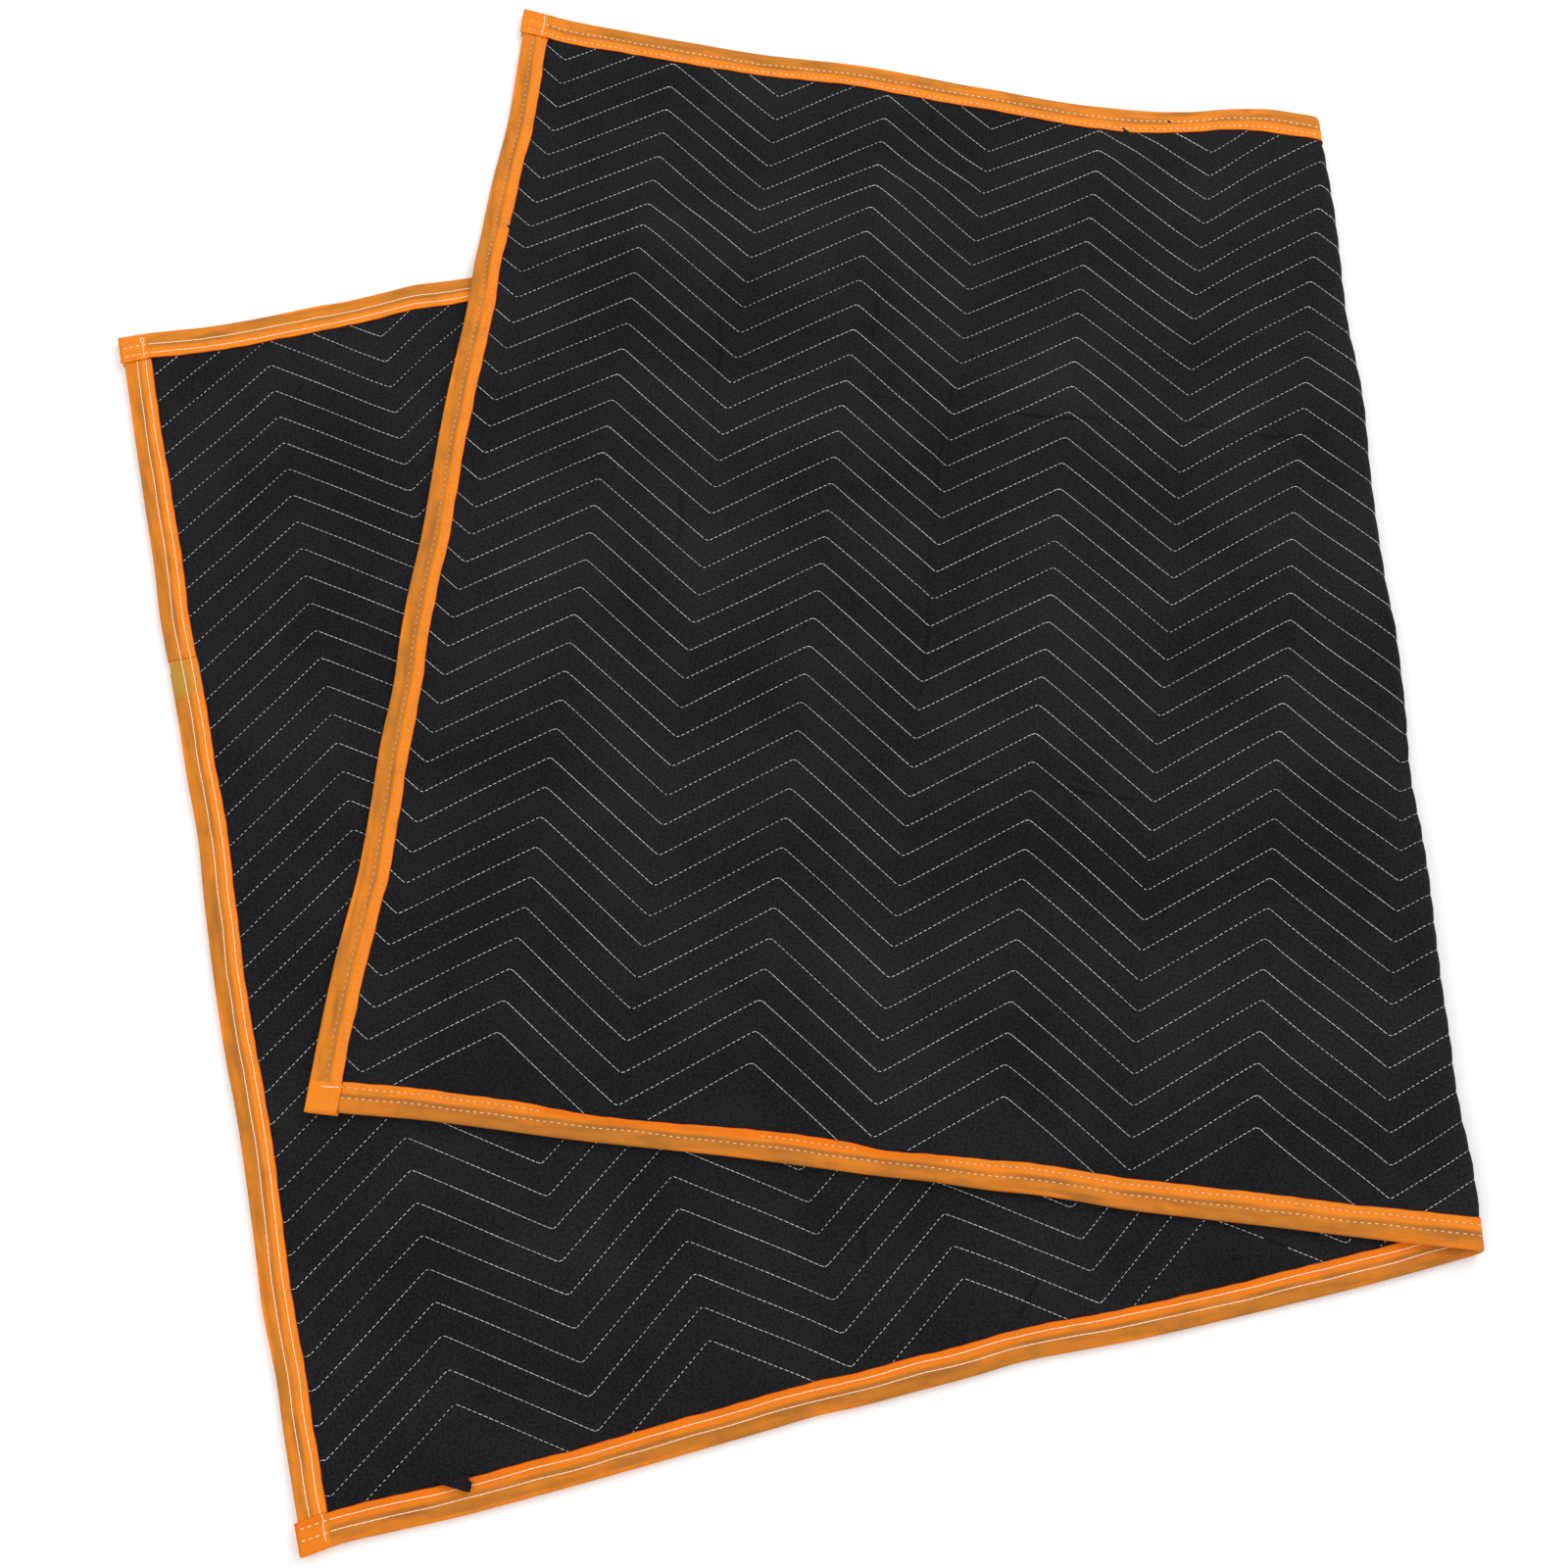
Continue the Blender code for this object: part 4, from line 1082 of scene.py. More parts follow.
def tape_contour(tape, stations):
    """Depth, height and band of each point of the tape's section, from face 1 to face 2.

    The section is flat with a soft dip of a bell curve at each seam, and its outer edge is a
    quarter of a circle. A rolled hem is a bell curve over the second seam.
    """
    first, second, inner = tape.line_depths(stations)
    zero = np.zeros((len(stations), 1))
    swell = TAPE_SWELL * ripple(stations, tape.seed + 5, SWELL_WAVELENGTH)[:, None]
    swell = swell + JOIN_STEP * tape.doubled(stations)[:, None]
    depths, heights = [], []
    for face in (1, 2):
        drawn = tape.rolled(stations) * (face == 2)
        knots = np.stack((np.zeros_like(first), first, second - 0.4 * drawn, inner - drawn))
        depth = np.array([np.interp(BANDS, range(4), column) for column in knots.T])
        from_edge = knots[3][:, None] - depth
        dip = np.zeros_like(depth)
        for line in (knots[1], knots[2]):
            dip += SEAM_DIP * np.exp(-(((depth - line[:, None]) / SEAM_DIP_REACH) ** 2))
        inside = smooth_step(depth / SWELL_OUTER) * smooth_step(from_edge / SWELL_INNER)
        waves = swell * inside
        rise = drawn[:, None] / ROLL_DRAWN * ROLL_HEIGHT
        roll = rise * np.exp(-(((from_edge - ROLL_INSET) / ROLL_REACH) ** 2))
        depths.append(depth)
        heights.append(tape.halves(stations)[:, None] * rounded_edge(depth) - dip + waves + roll)
    return (
        np.hstack((depths[0], zero, depths[1][:, ::-1])),
        np.hstack((heights[0], zero, -heights[1][:, ::-1])),
        np.concatenate((BANDS, (0.0,), BANDS[::-1])),
    )


def lining_contour(tape, stations, depth):
    """The inside of the tape: the same section, moved in by the tape's thickness."""
    thick = tape.lay.tape
    inside = thick + depth * (1.0 - thick / depth.max(axis=1, keepdims=True))
    sides = np.sign(np.arange(depth.shape[1]) - depth.shape[1] // 2) * -1.0
    return inside, (tape.halves(stations)[:, None] - thick) * rounded_edge(inside - thick) * sides


def tape_surfaces(tape):
    """Outside and inside of a tape as grids of points over (station, number in the section)."""
    stations = tape.stations()
    depth, height, bands = tape_contour(tape, stations)
    contours = ((depth, height), lining_contour(tape, stations, depth))
    grids = []
    for depths, heights in contours:
        along = np.repeat(stations[:, None], depths.shape[1], axis=1)
        u, v = tape.to_flat(along.ravel(), depths.ravel())
        grids.append(tape.lay.placed(u, v, heights.ravel()).reshape(*depths.shape, 3))
    return stations, depth, bands, grids


def build_tape(lay, name, material):
    """A binding tape: a closed band, folded over the pad's edge."""
    tape = Tape(lay, name)
    stations, depth, bands, (outer, inner) = tape_surfaces(tape)
    points = np.concatenate((outer, inner[:, ::-1]), axis=1)
    around = points.shape[1]
    k = np.arange(around // 2 - 1)
    cap = np.column_stack((k, around - 1 - k, around - 2 - k, k + 1))
    last_cap = cap[:, ::-1] + around * (len(stations) - 1)
    quads = np.vstack((tube_quads(around, len(stations)), cap, last_cap))
    width = np.hstack((depth, depth[:, ::-1]))
    along = np.repeat(stations[:, None], around, axis=1)
    from_end = np.minimum(along, tape.run - along)
    band = np.tile(np.concatenate((bands, bands[::-1])), (len(stations), 1))
    maps = [
        ("Cloth", np.column_stack((along.ravel(), width.ravel()))),
        ("Bands", np.column_stack((from_end.ravel(), band.ravel()))),
    ]
    item = mesh_object(
        f"binding_tape_{name}", points.reshape(-1, 3), split_quads(quads), material, maps,
    )
    return grip(item, "orange_binding_tape", f"binding_{name}")


def face_numbers(bands, face):
    """Numbers of the points in a tape's section that lie on one face."""
    middle = len(bands) // 2
    return np.arange(middle + 1) if face == 1 else np.arange(middle, len(bands))


def seam_places(tape, bands, pitch, face, rng):
    """Start and end of each seam stitch as (station, number in the section), on one face."""
    side = face_numbers(bands, face)
    first = tape.start + FIRST_STITCH if tape.covers[0] else UNDER_SQUARE
    last = tape.end - LAST_STITCH if tape.covers[1] else tape.run - UNDER_SQUARE
    starts, ends = [], []
    for band in (1, 2):
        line = side[np.argmin(np.abs(bands[side] - band))]
        begin = np.arange(first + rng.uniform(0.0, SEAM_PHASE * pitch), last - pitch, pitch)
        if face == 2 and band == 2 and tape.name == "long_near":
            hidden = [(begin > start) & (begin < end) for start, end in HIDDEN_SEAM]
            begin = begin[~np.any(hidden, axis=0)]
        if face == 1:
            shown = np.ones(len(begin))
            asides = [
                SEAM_ASIDE * ripple(at, tape.seed + 7, SEAM_WAVELENGTH)
                for at in (begin, begin + pitch)
            ]
        else:
            shown = SEAM_SHOWN[tape.name][band - 1] + rng.normal(0.0, SEAM_TENSION, len(begin))
            asides = rng.normal(0.0, SEAM_ASIDE, (2, len(begin)))
        on_square = np.minimum(begin, tape.run - begin) < SQUARE_END - 0.5 * pitch
        shown = np.where(on_square, SHOWN_ON_SQUARE * shown, shown)
        starts.append(np.column_stack((begin, line + asides[0])))
        ends.append(np.column_stack((begin + pitch * shown, line + asides[1])))
    return np.vstack(starts), np.vstack(ends)


def line_on_tape(stations, depths, row_depths, side):
    """Stitches that join points (station, depth) one after another, as numbers in the section."""
    order = np.argsort(row_depths[side])
    numbers = np.interp(depths, row_depths[side][order], side[order])
    points = np.column_stack((stations, numbers))
    return points[:-1], points[1:]


def bar_places(tape, row_depths, bands, face):
    """The bars of thread on the squares of a tape, each where the inner seam of the tape under it
    runs on, and at one corner a loop of thread, which is an ellipse."""
    side = face_numbers(bands, face)
    parts = []
    for corner, over, place in zip(tape.corners, tape.covers, (BAR_PLACE, tape.run - BAR_PLACE)):
        if over:
            start, end = (depth / 1000.0 for depth in BARS[corner])
            depths = np.linspace(start, end, BAR_POINTS)
            stations = place + BAR_UNEVEN * ripple(depths, tape.seed + face, BAR_WAVELENGTH)
            parts.append(line_on_tape(stations, depths, row_depths, side))
        if face == 1 and corner == ("a", "far") and over:
            turn = np.linspace(0.0, 2.0 * math.pi, LOOP_POINTS)
            stations = place + LOOP_RADIUS * np.sin(turn)
            depths = LOOP_DEPTH - LOOP_STRETCH * LOOP_RADIUS * np.cos(turn)
            parts.append(line_on_tape(stations, depths, row_depths, side))
    return parts


def build_seams(lay, sizes, colours):
    """The threads that hold the tapes: two seams round the pad, seen whole on face 1 and as
    dashes on face 2, and a short bar of thread across each corner square."""
    half = sizes.seam_thread / 2.0
    profile = [(across * half, up * half * SEAM_TALLNESS, 0.0) for across, up in SEAM_PROFILE]
    material = seam_thread(colours)
    for face in (1, 2):
        parts = []
        for name in TAPE_LINES:
            tape = Tape(lay, name)
            stations, depth, bands, (outer, inner) = tape_surfaces(tape)
            surface = Surface(stations, np.arange(len(bands)), outer)
            side = np.sign(np.sum(surface.normals * (outer - inner)))
            rng = np.random.default_rng(tape.seed + face)
            seams = seam_places(tape, bands, sizes.seam_stitch, face, rng)
            rings = WHOLE_SEAM_RINGS if face == 1 else SEAM_RINGS
            part_points, part_triangles, shade = stitch_mesh(surface, side, *seams, profile, rings)
            # Less white stands for painted shade, where the stitches of face 2 lie sunk in the tape
            whiteness = 1.0 if face == 1 else SEAM_SHOWN[name][2]
            parts.append((part_points, part_triangles, whiteness * shade))
            for bar in bar_places(tape, np.median(depth, axis=0), bands, face):
                parts.append(stitch_mesh(surface, side, *bar, profile, WHOLE_SEAM_RINGS))
        offset, points, triangles, shades = 0, [], [], []
        for part_points, part_triangles, shade in parts:
            points.append(part_points)
            triangles.append(part_triangles + offset)
            shades.append(shade)
            offset += len(part_points)
        item = mesh_object(
            f"seam_thread_face_{face}", np.vstack(points), np.vstack(triangles), material,
            attributes=[("middle", np.concatenate(shades))],
        )
        grip(item, "orange_binding_tape")


def build_tuft(lay, material):
    """The torn tuft: a grid from its root to its outline, lifted towards the tip, with a back."""
    outline = np.array(TUFT) / 1000.0
    along = np.linspace(0.0, 1.0, TUFT_GRID[0])
    length = np.hypot(*np.diff(outline, axis=0).T)
    knots = np.concatenate(((0.0,), np.cumsum(length))) / length.sum()
    rim = np.column_stack([np.interp(along, knots, column) for column in outline.T])
    root = outline[0] + along[:, None] * (outline[-1] - outline[0])
    reach = np.linspace(0.0, 1.0, TUFT_GRID[1])
    flat = root[:, None] * (1.0 - reach[:, None]) + rim[:, None] * reach[:, None]
    u, v = flat.reshape(-1, 2).T
    rise = np.tile(lay.crest + TUFT_GAP + TUFT_RISE * reach ** 1.5, TUFT_GRID[0])
    rise += TUFT_UNEVEN * ripple(u + v, TUFT_SEED, TUFT_WAVELENGTH)
    points = np.vstack((lay.placed(u, v, rise), lay.placed(u, v, rise + TUFT_THICKNESS)))
    triangles = sheet_triangles(np.arange(u.size).reshape(TUFT_GRID), u.size)
    flat = np.column_stack((u, v))
    quilt = np.column_stack((u, np.full_like(u, TUFT_ROW)))
    maps = [("Flat", np.vstack((flat, flat))), ("Quilt", np.vstack((quilt, quilt)))]
    return grip(mesh_object("torn_tuft", points, triangles, material, maps), "black_quilted_cloth")


# A ramp reads a value and goes from To Min to To Max, which are 0 and 1 unless given
RAMP_INPUTS = ("Value", "From Min", "From Max", "To Max", "To Min")

# Kinds of node: Blender's type, its settings, its inputs in the order in which they are given, and
# its output, or None for all of its outputs
NODE_KINDS = {
    "map": ("ShaderNodeUVMap", {}, (), 0),
    "place": ("ShaderNodeTexCoord", {}, (), "Object"),
    "attribute": ("ShaderNodeAttribute", {}, (), "Fac"),
    "split": ("ShaderNodeSeparateXYZ", {}, (0,), None),
    "stretch": ("ShaderNodeMapping", {}, ("Vector", "Scale"), 0),
    "beside": (
        "ShaderNodeMapping", {"vector_type": "TEXTURE"}, ("Vector", "Location", "Rotation"), 0,
    ),
    "noise": ("ShaderNodeTexNoise", {}, ("Vector", "Scale", "Detail"), "Fac"),
    "cells": ("ShaderNodeTexVoronoi", {"feature": "F1"}, ("Vector", "Scale"), None),
    "weave": (
        "ShaderNodeTexWave", {"wave_type": "BANDS", "bands_direction": "DIAGONAL"},
        ("Vector", "Scale", "Distortion", "Detail"), "Fac",
    ),
    "ease": ("ShaderNodeMapRange", {"interpolation_type": "SMOOTHSTEP"}, RAMP_INPUTS, 0),
    "slope": ("ShaderNodeMapRange", {"interpolation_type": "LINEAR"}, RAMP_INPUTS, 0),
    "mix": ("ShaderNodeMix", {"data_type": "RGBA"}, (0, 6, 7), 2),
    "bump": ("ShaderNodeBump", {}, ("Strength", "Distance", "Height", "Normal"), 0),
}


def add_node(tree, kind, *inputs, **settings):
    """Add a node and return its output. An input is a value, or a socket to link from. A kind
    that isn't in the table is an operation on two numbers."""
    operation = ("ShaderNodeMath", {"operation": kind}, (0, 1), 0)
    node_type, own_settings, keys, output = NODE_KINDS.get(kind, operation)
    node = tree.nodes.new(node_type)
    for key, value in {**own_settings, **settings}.items():
        setattr(node, key, value)
    for key, value in zip(keys, inputs):
        if isinstance(value, bpy.types.NodeSocket):
            tree.links.new(value, node.inputs[key])
        else:
            node.inputs[key].default_value = value
    return node.outputs if output is None else node.outputs[output]


def new_material(name, colours):
    """A material, add_node for its own tree, and the user's colours with black and white."""
    material = bpy.data.materials.new(name)
    material.use_nodes = True
    paint = {key: (*getattr(colours, key), 1.0) for key in colours.__annotations__}
    paint.update(black=(0.0, 0.0, 0.0, 1.0), white=(1.0, 1.0, 1.0, 1.0))
    return material, partial(add_node, material.node_tree), paint


def finish_material(material, colour, roughness, specular=0.5, normal=None):
    """Give the material's shader its colour, roughness, share of gloss and bumps."""
    tree = material.node_tree
    sockets = tree.nodes["Principled BSDF"].inputs
    tree.links.new(colour, sockets["Base Color"])
    sockets["Roughness"].default_value = roughness
    sockets["Specular IOR Level"].default_value = specular
    if normal is not None:
        tree.links.new(normal, sockets["Normal"])
    return material


def painted_crease_shade(add, place):
    """Socket of the creases' painted shade: its darkness along each line, patchy, 0 past its ends.

    Each line wanders up to 10 mm aside in noise about 70 mm across, and it shows in patches of
    about 50 mm.
    """
    wander = add("MULTIPLY", add("SUBTRACT", add("noise", place, 14.0, 3.0), 0.5), 0.020)
    shown = 0.0
    for x, y, end_x, end_y, _, _, dark in CREASES:
        reach = math.hypot(end_x - x, end_y - y)
        turn = math.atan2(end_y - y, end_x - x)
        along, aside, _ = add("split", add("beside", place, (x, y, 0.0), (0.0, 0.0, turn)))
        line = add("ease", add("ABSOLUTE", add("ADD", aside, wander)), 0.0028, 0.0002, dark)
        for start, end in ((0.0, CREASE_ENDS), (reach, reach - CREASE_ENDS)):
            line = add("MULTIPLY", line, add("ease", along, start, end))
        shown = add("MAXIMUM", line, shown)
    patches = add("ease", add("noise", place, 21.0, 2.0), 0.40, 0.58, 1.0, 0.25)
    return add("MULTIPLY", shown, patches)


def black_cloth(colours):
    """Black needled polyester facing: fibres pressed and bonded into a sheet, so it is dead matt.

    The eye sees an even black with a faint mottle, a little fluff, and a dark line of shadow where
    each row of stitches pulls the cloth in.
    """
    material, add, paint = new_material("needled_polyester_black", colours)
    flat = add("map", uv_map="Flat")
    # Mottle about 110 mm across, fibre clumps about 2 mm and single fibres under 1 mm across
    mottle = add("slope", add("noise", flat, 9.0, 4.0), 0.36, 0.72, 0.050)
    clumps = add("MULTIPLY", add("noise", flat, 480.0, 2.0), 0.65)
    fibres = add("MULTIPLY", add("noise", flat, 1400.0, 1.0), 0.35)
    strands = add("ADD", clumps, fibres)
    pale_strands = add("slope", strands, 0.50, 0.62, 0.055)
    dark_strands = add("slope", strands, 0.50, 0.38, 0.45)
    # A piece of fluff is a spot under 1 mm in about one in three cells of 16 mm
    cells = add("cells", flat, 62.0)
    chosen = add("MULTIPLY", add("GREATER_THAN", cells["Color"], 0.62), 0.5)
    fluff = add("MULTIPLY", add("ease", cells["Distance"], 0.035, 0.0), chosen)
    # The row number's distance from a whole number gives the dark line along each sewn row
    row = add("split", add("map", uv_map="Quilt"))[1]
    from_row = add("PINGPONG", row, 0.5)
    after_first = add("GREATER_THAN", row, FIRST_SEWN_ROW - 0.5)
    before_last = add("LESS_THAN", row, LAST_SEWN_ROW + 0.5)
    sewn = add("MULTIPLY", after_first, before_last)
    shadow = add("MULTIPLY", add("ease", from_row, 0.075, 0.0, 0.55), sewn)
    # Painted shade along the troughs of the packing creases, mixed towards black
    creases = painted_crease_shade(add, add("place"))
    colour = paint["cloth"]
    for share, over in (
        (mottle, "lint"), (pale_strands, "lint"), (dark_strands, "black"), (fluff, "lint"),
        (shadow, "black"), (creases, "black"),
    ):
        colour = add("mix", share, colour, paint[over])
    # Puckers, about 6 mm apart, run across each row and die away from it
    pull = add("slope", from_row, 0.28, 0.0, 1.0, 0.15)
    puckers = add("bump", 0.6, 0.0007, add("MULTIPLY", add("noise", flat, 170.0, 1.0), pull))
    normal = add("bump", 0.35, 0.0004, strands, puckers)
    return finish_material(material, colour, 0.92, 0.12, normal)


def thin_half(add, paint, places, deep):
    """Colour of the tape's single outer half: dulled by the black pad in blotches and streaks, and by
    painted shade before the hem.
    """
    cloth, drawn, station, band = places
    # Blotches about 70 mm long and 12 mm wide, and smaller ones of 12 mm
    dull = add("ease", add("noise", drawn, 14.0, 3.0), 0.45, 0.68, 0.9)
    fresh = add("ease", add("noise", drawn, 11.0, 2.0), 0.52, 0.40, 0.55)
    worn = add("ease", add("noise", cloth, 85.0, 2.0), 0.5, 0.75, 0.5)
    # The very edge stays bright where the fold of the tape stands off the pad, for about 110 mm
    standing = add("ease", add("noise", cloth, 9.0, 1.0), 0.5, 0.6)
    if deep:
        standing = add("MAXIMUM", standing, add("ease", station, *BRIGHT_EDGE_BEFORE))
    nose = add("MULTIPLY", add("ease", band, 0.32, 0.20), standing)
    # Painted shade makes the tape dullest just before its hem starts, in patches of about 50 mm
    patches = add("ease", add("noise", cloth, 20.0, 1.0), 0.35, 0.6, 0.9)
    pre_hem_shade = add("MULTIPLY", add("ease", band, 0.92, 1.05), patches)
    colour = paint["thin_tape"]
    for share, over in (
        (dull, "stained_tape"), (fresh, "tape"), (worn, "stained_tape"), (nose, "tape"),
        (pre_hem_shade, "stained_tape"),
    ):
        colour = add("mix", share, colour, paint[over])
    return colour


def hem_colour(add, paint, station, band):
    """Colour of the near tape's hem: deeper on the lower layer and where it has rolled over."""
    rolled = add("ease", station, *DEEP_HEM_FROM)
    rolled = add("MULTIPLY", rolled, add("ease", station, *DEEP_HEM_UNTIL))
    where = add("MAXIMUM", add("ease", station, *DEEP_HEM_BEFORE), rolled)
    where = add("MULTIPLY", where, add("ease", band, 1.5, 2.3, 1.0, 0.35))
    return add("mix", where, paint["tape"], paint["deep_tape"])


def join_marks(add, cloth, station, band, join_at):
    """Marks where two lengths of tape meet, as (share, name of the colour).

    They are a stain on the length that ends at the join, strongest outside the first seam and
    ragged by about 11 mm, a line of painted shade along the cut end, and its fray at the outer edge.
    """
    aways = []
    for place in (join_at - 0.5 * JOIN_OVERLAP, join_at, join_at - 0.006):
        aways.append(add("ABSOLUTE", add("SUBTRACT", station, place)))
    stained_away = add("ADD", aways[0], add("MULTIPLY", add("noise", cloth, 90.0, 2.0), 0.012))
    stain = add("ease", stained_away, 0.85 * JOIN_OVERLAP, 0.45 * JOIN_OVERLAP, 0.85)
    fray = add("ease", aways[2], 0.0055, 0.004)
    return [
        (add("MULTIPLY", stain, add("ease", band, 1.9, 0.9, 1.0, 0.3)), "joined_tape"),
        (add("ease", aways[1], 0.0011, 0.0004, 0.55), "painted_edge_shade"),
        (add("MULTIPLY", fray, add("ease", band, 0.16, 0.09, 0.6)), "seam_thread"),
    ]


def orange_tape(colours, name, dimmed=0.0, deep=False, join_at=None):
    """Orange polypropylene binding, woven flat and thin: the black pad shows through its single
    outer half and dulls it, while its hemmed inner half and the corner squares stay bright.

    The argument after the name is the share of the soil colour mixed in all over, darkening the whole
    tape, over which streaks of more soil lie.
    hem a deeper orange in places, and join_at is where two lengths of the tape are joined.
    """
    material, add, paint = new_material(name, colours)
    cloth = add("map", uv_map="Cloth")
    drawn = add("stretch", cloth, (1.0, 6.0, 1.0))
    station = add("split", cloth)[0]
    from_end, band, _ = add("split", add("map", uv_map="Bands"))
    thin = thin_half(add, paint, (cloth, drawn, station, band), deep)
    hemmed = hem_colour(add, paint, station, band) if deep else paint["tape"]
    on_square = add("ease", from_end, SQUARE_END + 0.0001, SQUARE_END - 0.0011)
    backed = add("MAXIMUM", add("ease", band, 1.25, 1.62), on_square)
    # Faded patches of about 22 mm, and streaks of soil about 40 mm long and 6 mm wide
    faded = add("ease", add("noise", cloth, 45.0, 2.0), 0.5, 0.72, 0.35)
    streaks = add("ease", add("noise", drawn, 26.0, 4.0), 0.42, 0.72, 0.6 * dimmed + 0.28, dimmed)
    streaks = add("MULTIPLY", streaks, add("ease", backed, 0.0, 1.0, 0.45, 1.0))
    # Painted shade along the tape's inner edge, off the corner squares
    off_square = add("ease", from_end, SQUARE_END - 0.0011, SQUARE_END + 0.0001)
    rim = add("MULTIPLY", add("ease", band, 2.84, 2.96, 0.9), off_square)
    layers = [(faded, "stained_tape"), (streaks, "soil"), (rim, "painted_edge_shade")]
    if join_at is not None:
        layers += join_marks(add, cloth, station, band, join_at)
    colour = add("mix", backed, thin, hemmed)
    for share, over in layers:
        colour = add("mix", share, colour, paint[over])
    # Weave of about 0.9 mm, drawn coarser than its real 0.4 mm so that it shows
    weave = add("bump", 0.35, 0.00015, add("weave", cloth, 175.0, 1.5, 1.0))
    # Creases about 6 mm apart run across the tape, among dents of 10 mm
    across = add("stretch", cloth, (1.0, 0.35, 1.0))
    crumple = add("ADD", add("noise", cloth, 100.0, 3.0), add("noise", across, 170.0, 2.0))
    return finish_material(material, colour, 0.78, 0.14, add("bump", 0.6, 0.0016, crumple, weave))


def quilting_thread(colours):
    """Spun polyester thread, off white: soft and matt, greyer where black fluff clings to it."""
    material, add, paint = new_material("spun_polyester_thread_grey", colours)
    # Fluff in patches about 30 mm across
    dull = add("ease", add("noise", add("place"), 33.0, 4.0), 0.35, 0.7, 0.45)
    return finish_material(material, add("mix", dull, paint["quilt_thread"], paint["lint"]), 0.7)


def seam_thread(colours):
    """Spun polyester thread, warm white from the tape round it, with painted shade where it enters
    the cloth.
    """
    material, add, paint = new_material("spun_polyester_thread_white", colours)
    shown = add("ease", add("attribute", attribute_name="middle"), 0.35, 0.85)
    colour = add("mix", shown, paint["needle_hole"], paint["seam_thread"])
    return finish_material(material, colour, 0.7)


def floor_material(colours):
    """Seamless studio paper: an even, matt near-white, with clouds about 0.3 m across."""
    material, add, paint = new_material("studio_paper", colours)
    faint = add("MULTIPLY", add("noise", add("place"), 3.0, 1.0), 0.02)
    return finish_material(material, add("mix", faint, paint["floor"], paint["white"]), 1.0, 0.0)


def area_light(name, place, size, power):
    """A soft square light that faces the middle of the pad."""
    data = bpy.data.lights.new(name, "AREA")
    data.shape = "SQUARE"
    data.size = size
    data.energy = power
    item = bpy.data.objects.new(name, data)
    item.location = place
    item.rotation_euler = (-Vector(place)).to_track_quat("-Z", "Y").to_euler()
    bpy.context.scene.collection.objects.link(item)


def build_stage(colours):
    """Floor, soft lights, white surroundings and the camera."""
    corners = [(x * FLOOR_HALF, y * FLOOR_HALF, -FLOOR_GAP) for x, y in FLOOR_CORNERS]
    mesh = bpy.data.meshes.new("floor")
    mesh.from_pydata(corners, [], [(0, 1, 2, 3)])
    mesh.materials.append(floor_material(colours))
    floor = bpy.data.objects.new("floor", mesh)
    bpy.context.scene.collection.objects.link(floor)

    for name, (place, size, power) in LIGHTS.items():
        area_light(name, place, size, power)
    world = bpy.data.worlds.new("white_surroundings")
    world.use_nodes = True
    background = world.node_tree.nodes["Background"]
    background.inputs["Color"].default_value = (1.0, 1.0, 1.0, 1.0)
    background.inputs["Strength"].default_value = SURROUNDINGS_STRENGTH
    bpy.context.scene.world = world
    bpy.context.scene.view_settings.view_transform = "Standard"

    data = bpy.data.cameras.new("camera")
    data.lens = CAMERA_LENS
    data.sensor_width = CAMERA_SENSOR
    camera = bpy.data.objects.new("camera", data)
    camera.location = CAMERA_PLACE
    aim = Vector(CAMERA_AIM) - Vector(CAMERA_PLACE)
    camera.rotation_euler = aim.to_track_quat("-Z", "Y").to_euler()
    bpy.context.scene.collection.objects.link(camera)
    bpy.context.scene.camera = camera


class PAD_OT_cloth(bpy.types.Operator):
    """Build the quilted cloth"""

    bl_idname = "moving_pad.cloth"
    bl_label = "Quilted cloth"

    def execute(self, context):
        lay = Lay(context.scene.moving_pad_sizes)
        material = black_cloth(context.scene.moving_pad_colours)
        build_cloth(lay, material)
        build_tuft(lay, material)
        return {"FINISHED"}


class PAD_OT_quilting(bpy.types.Operator):
    """Sew the zigzag rows on both faces"""

    bl_idname = "moving_pad.quilting"
    bl_label = "Quilting stitches"

    def execute(self, context):
        sizes = context.scene.moving_pad_sizes
        build_quilting(Lay(sizes), sizes, context.scene.moving_pad_colours)
        return {"FINISHED"}


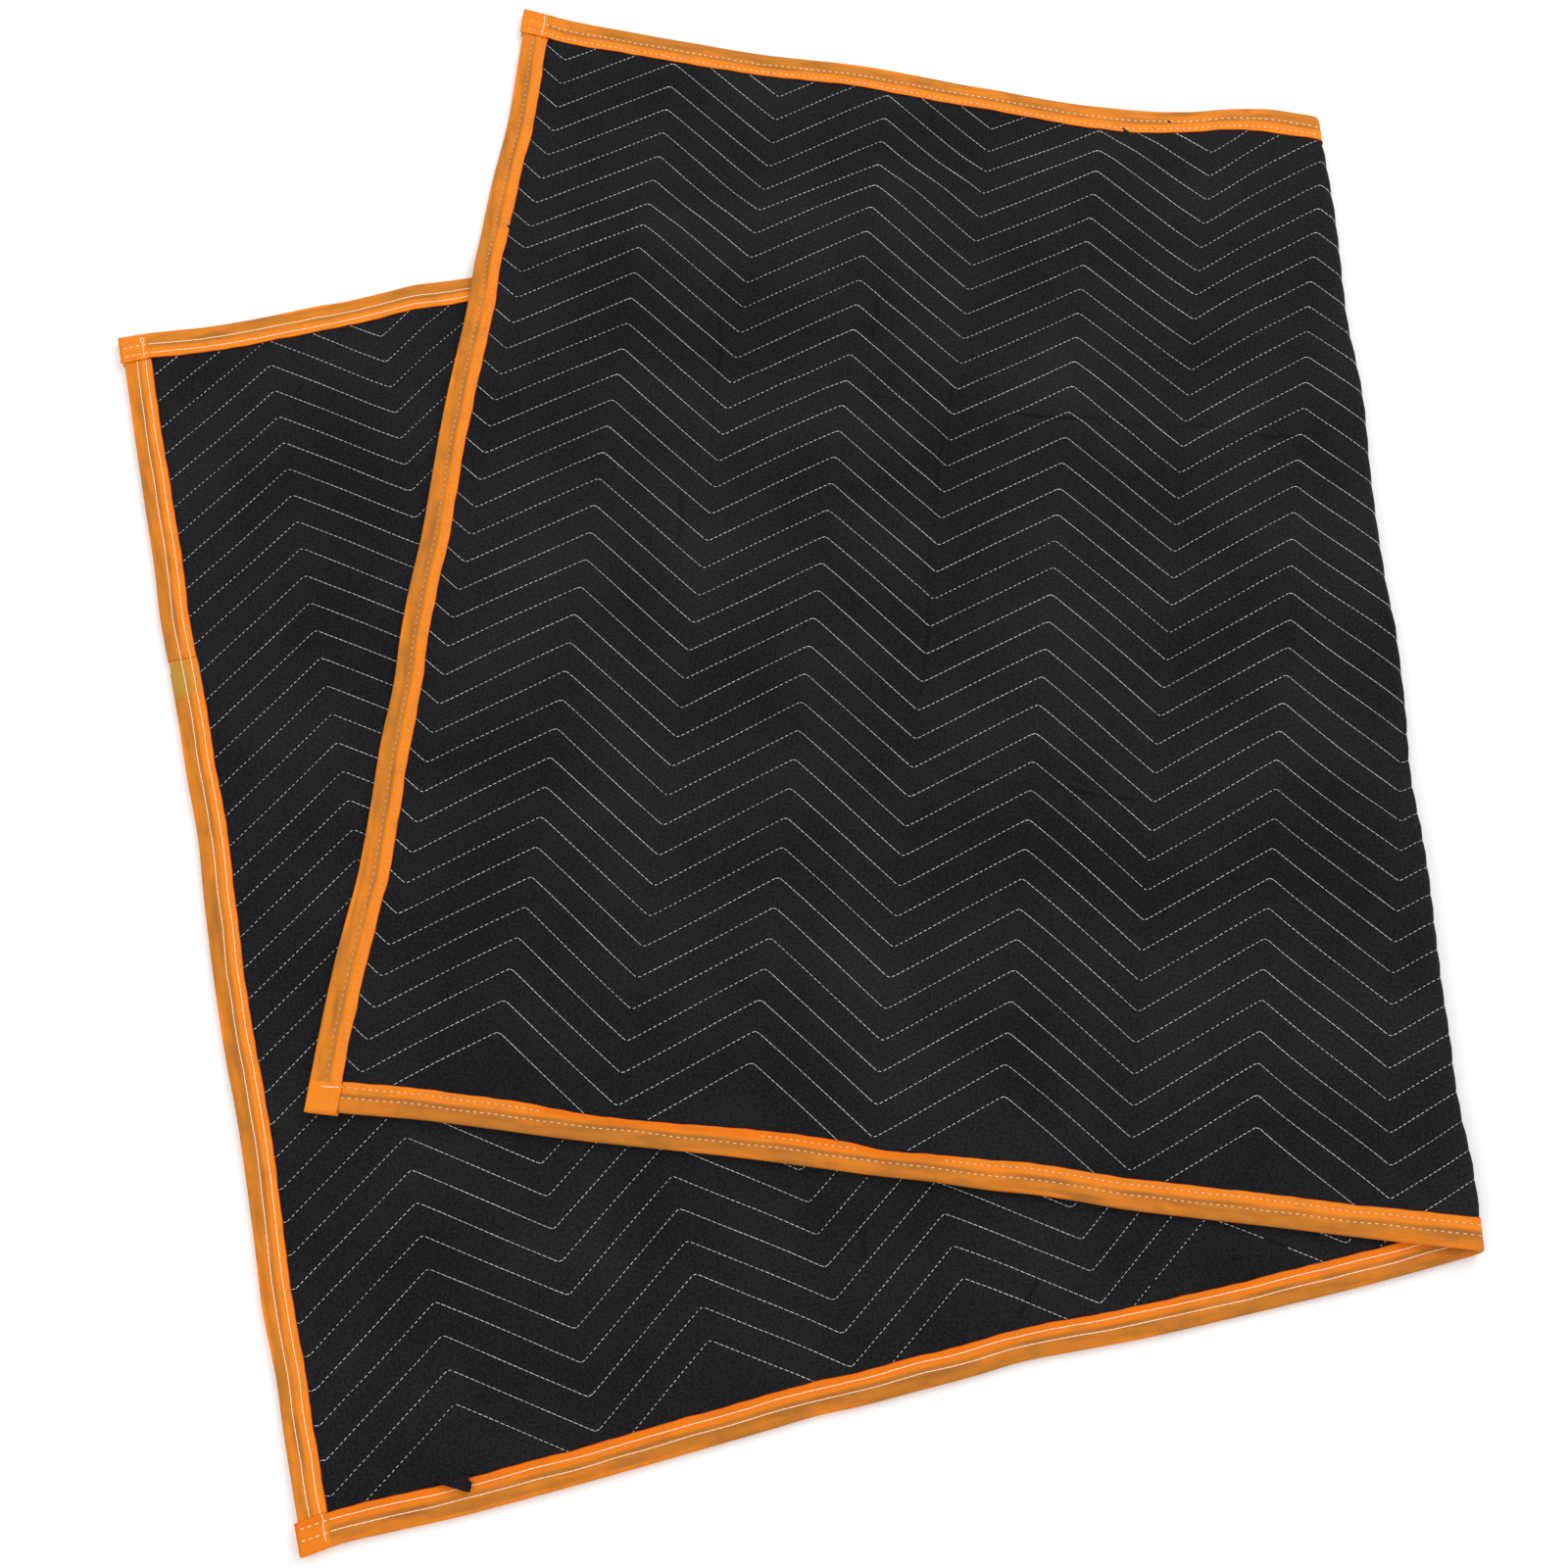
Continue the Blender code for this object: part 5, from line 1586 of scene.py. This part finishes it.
class PAD_OT_tapes(bpy.types.Operator):
    """Fold the four binding tapes over the edges"""

    bl_idname = "moving_pad.tapes"
    bl_label = "Binding tapes"

    def execute(self, context):
        lay = Lay(context.scene.moving_pad_sizes)
        colours = context.scene.moving_pad_colours
        plain = orange_tape(colours, "woven_polypropylene_orange")
        deep = orange_tape(colours, "woven_polypropylene_orange_deep", dimmed=0.12, deep=True)
        joined = orange_tape(colours, "woven_polypropylene_orange_joined", join_at=JOIN_PLACE)
        materials = {"short_a": joined, "long_near": deep}
        for name in TAPE_LINES:
            build_tape(lay, name, materials.get(name, plain))
        return {"FINISHED"}


class PAD_OT_seams(bpy.types.Operator):
    """Sew the tapes down with two seams, and bar the corners"""

    bl_idname = "moving_pad.seams"
    bl_label = "Seam stitches"

    def execute(self, context):
        sizes = context.scene.moving_pad_sizes
        build_seams(Lay(sizes), sizes, context.scene.moving_pad_colours)
        return {"FINISHED"}


class PAD_OT_stage(bpy.types.Operator):
    """Set the floor, the lights and the camera"""

    bl_idname = "moving_pad.stage"
    bl_label = "Studio"

    def execute(self, context):
        build_stage(context.scene.moving_pad_colours)
        return {"FINISHED"}


STEPS = (PAD_OT_cloth, PAD_OT_quilting, PAD_OT_tapes, PAD_OT_seams, PAD_OT_stage)


class VIEW3D_PT_moving_pad(bpy.types.Panel):
    """Lists the sizes, the colours and the steps"""

    bl_label = "Moving pad"
    bl_space_type = "VIEW_3D"
    bl_region_type = "UI"
    bl_category = "Moving pad"

    def draw(self, context):
        layout = self.layout
        for group in (context.scene.moving_pad_sizes, context.scene.moving_pad_colours):
            box = layout.box()
            for key in group.__annotations__:
                box.prop(group, key)
        for step in STEPS:
            layout.operator(step.bl_idname)


CLASSES = (PadSizes, PadColours, *STEPS, VIEW3D_PT_moving_pad)


def register():
    """Add the classes and their settings."""
    for item in CLASSES:
        bpy.utils.register_class(item)
    bpy.types.Scene.moving_pad_sizes = PointerProperty(type=PadSizes)
    bpy.types.Scene.moving_pad_colours = PointerProperty(type=PadColours)


def unregister():
    """Remove the classes and their settings."""
    del bpy.types.Scene.moving_pad_colours
    del bpy.types.Scene.moving_pad_sizes
    for item in reversed(CLASSES):
        bpy.utils.unregister_class(item)


def main():
    """Build every piece."""
    register()
    bpy.ops.moving_pad.cloth()
    bpy.ops.moving_pad.quilting()
    bpy.ops.moving_pad.tapes()
    bpy.ops.moving_pad.seams()
    bpy.ops.moving_pad.stage()


if __name__ == "__main__":
    main()
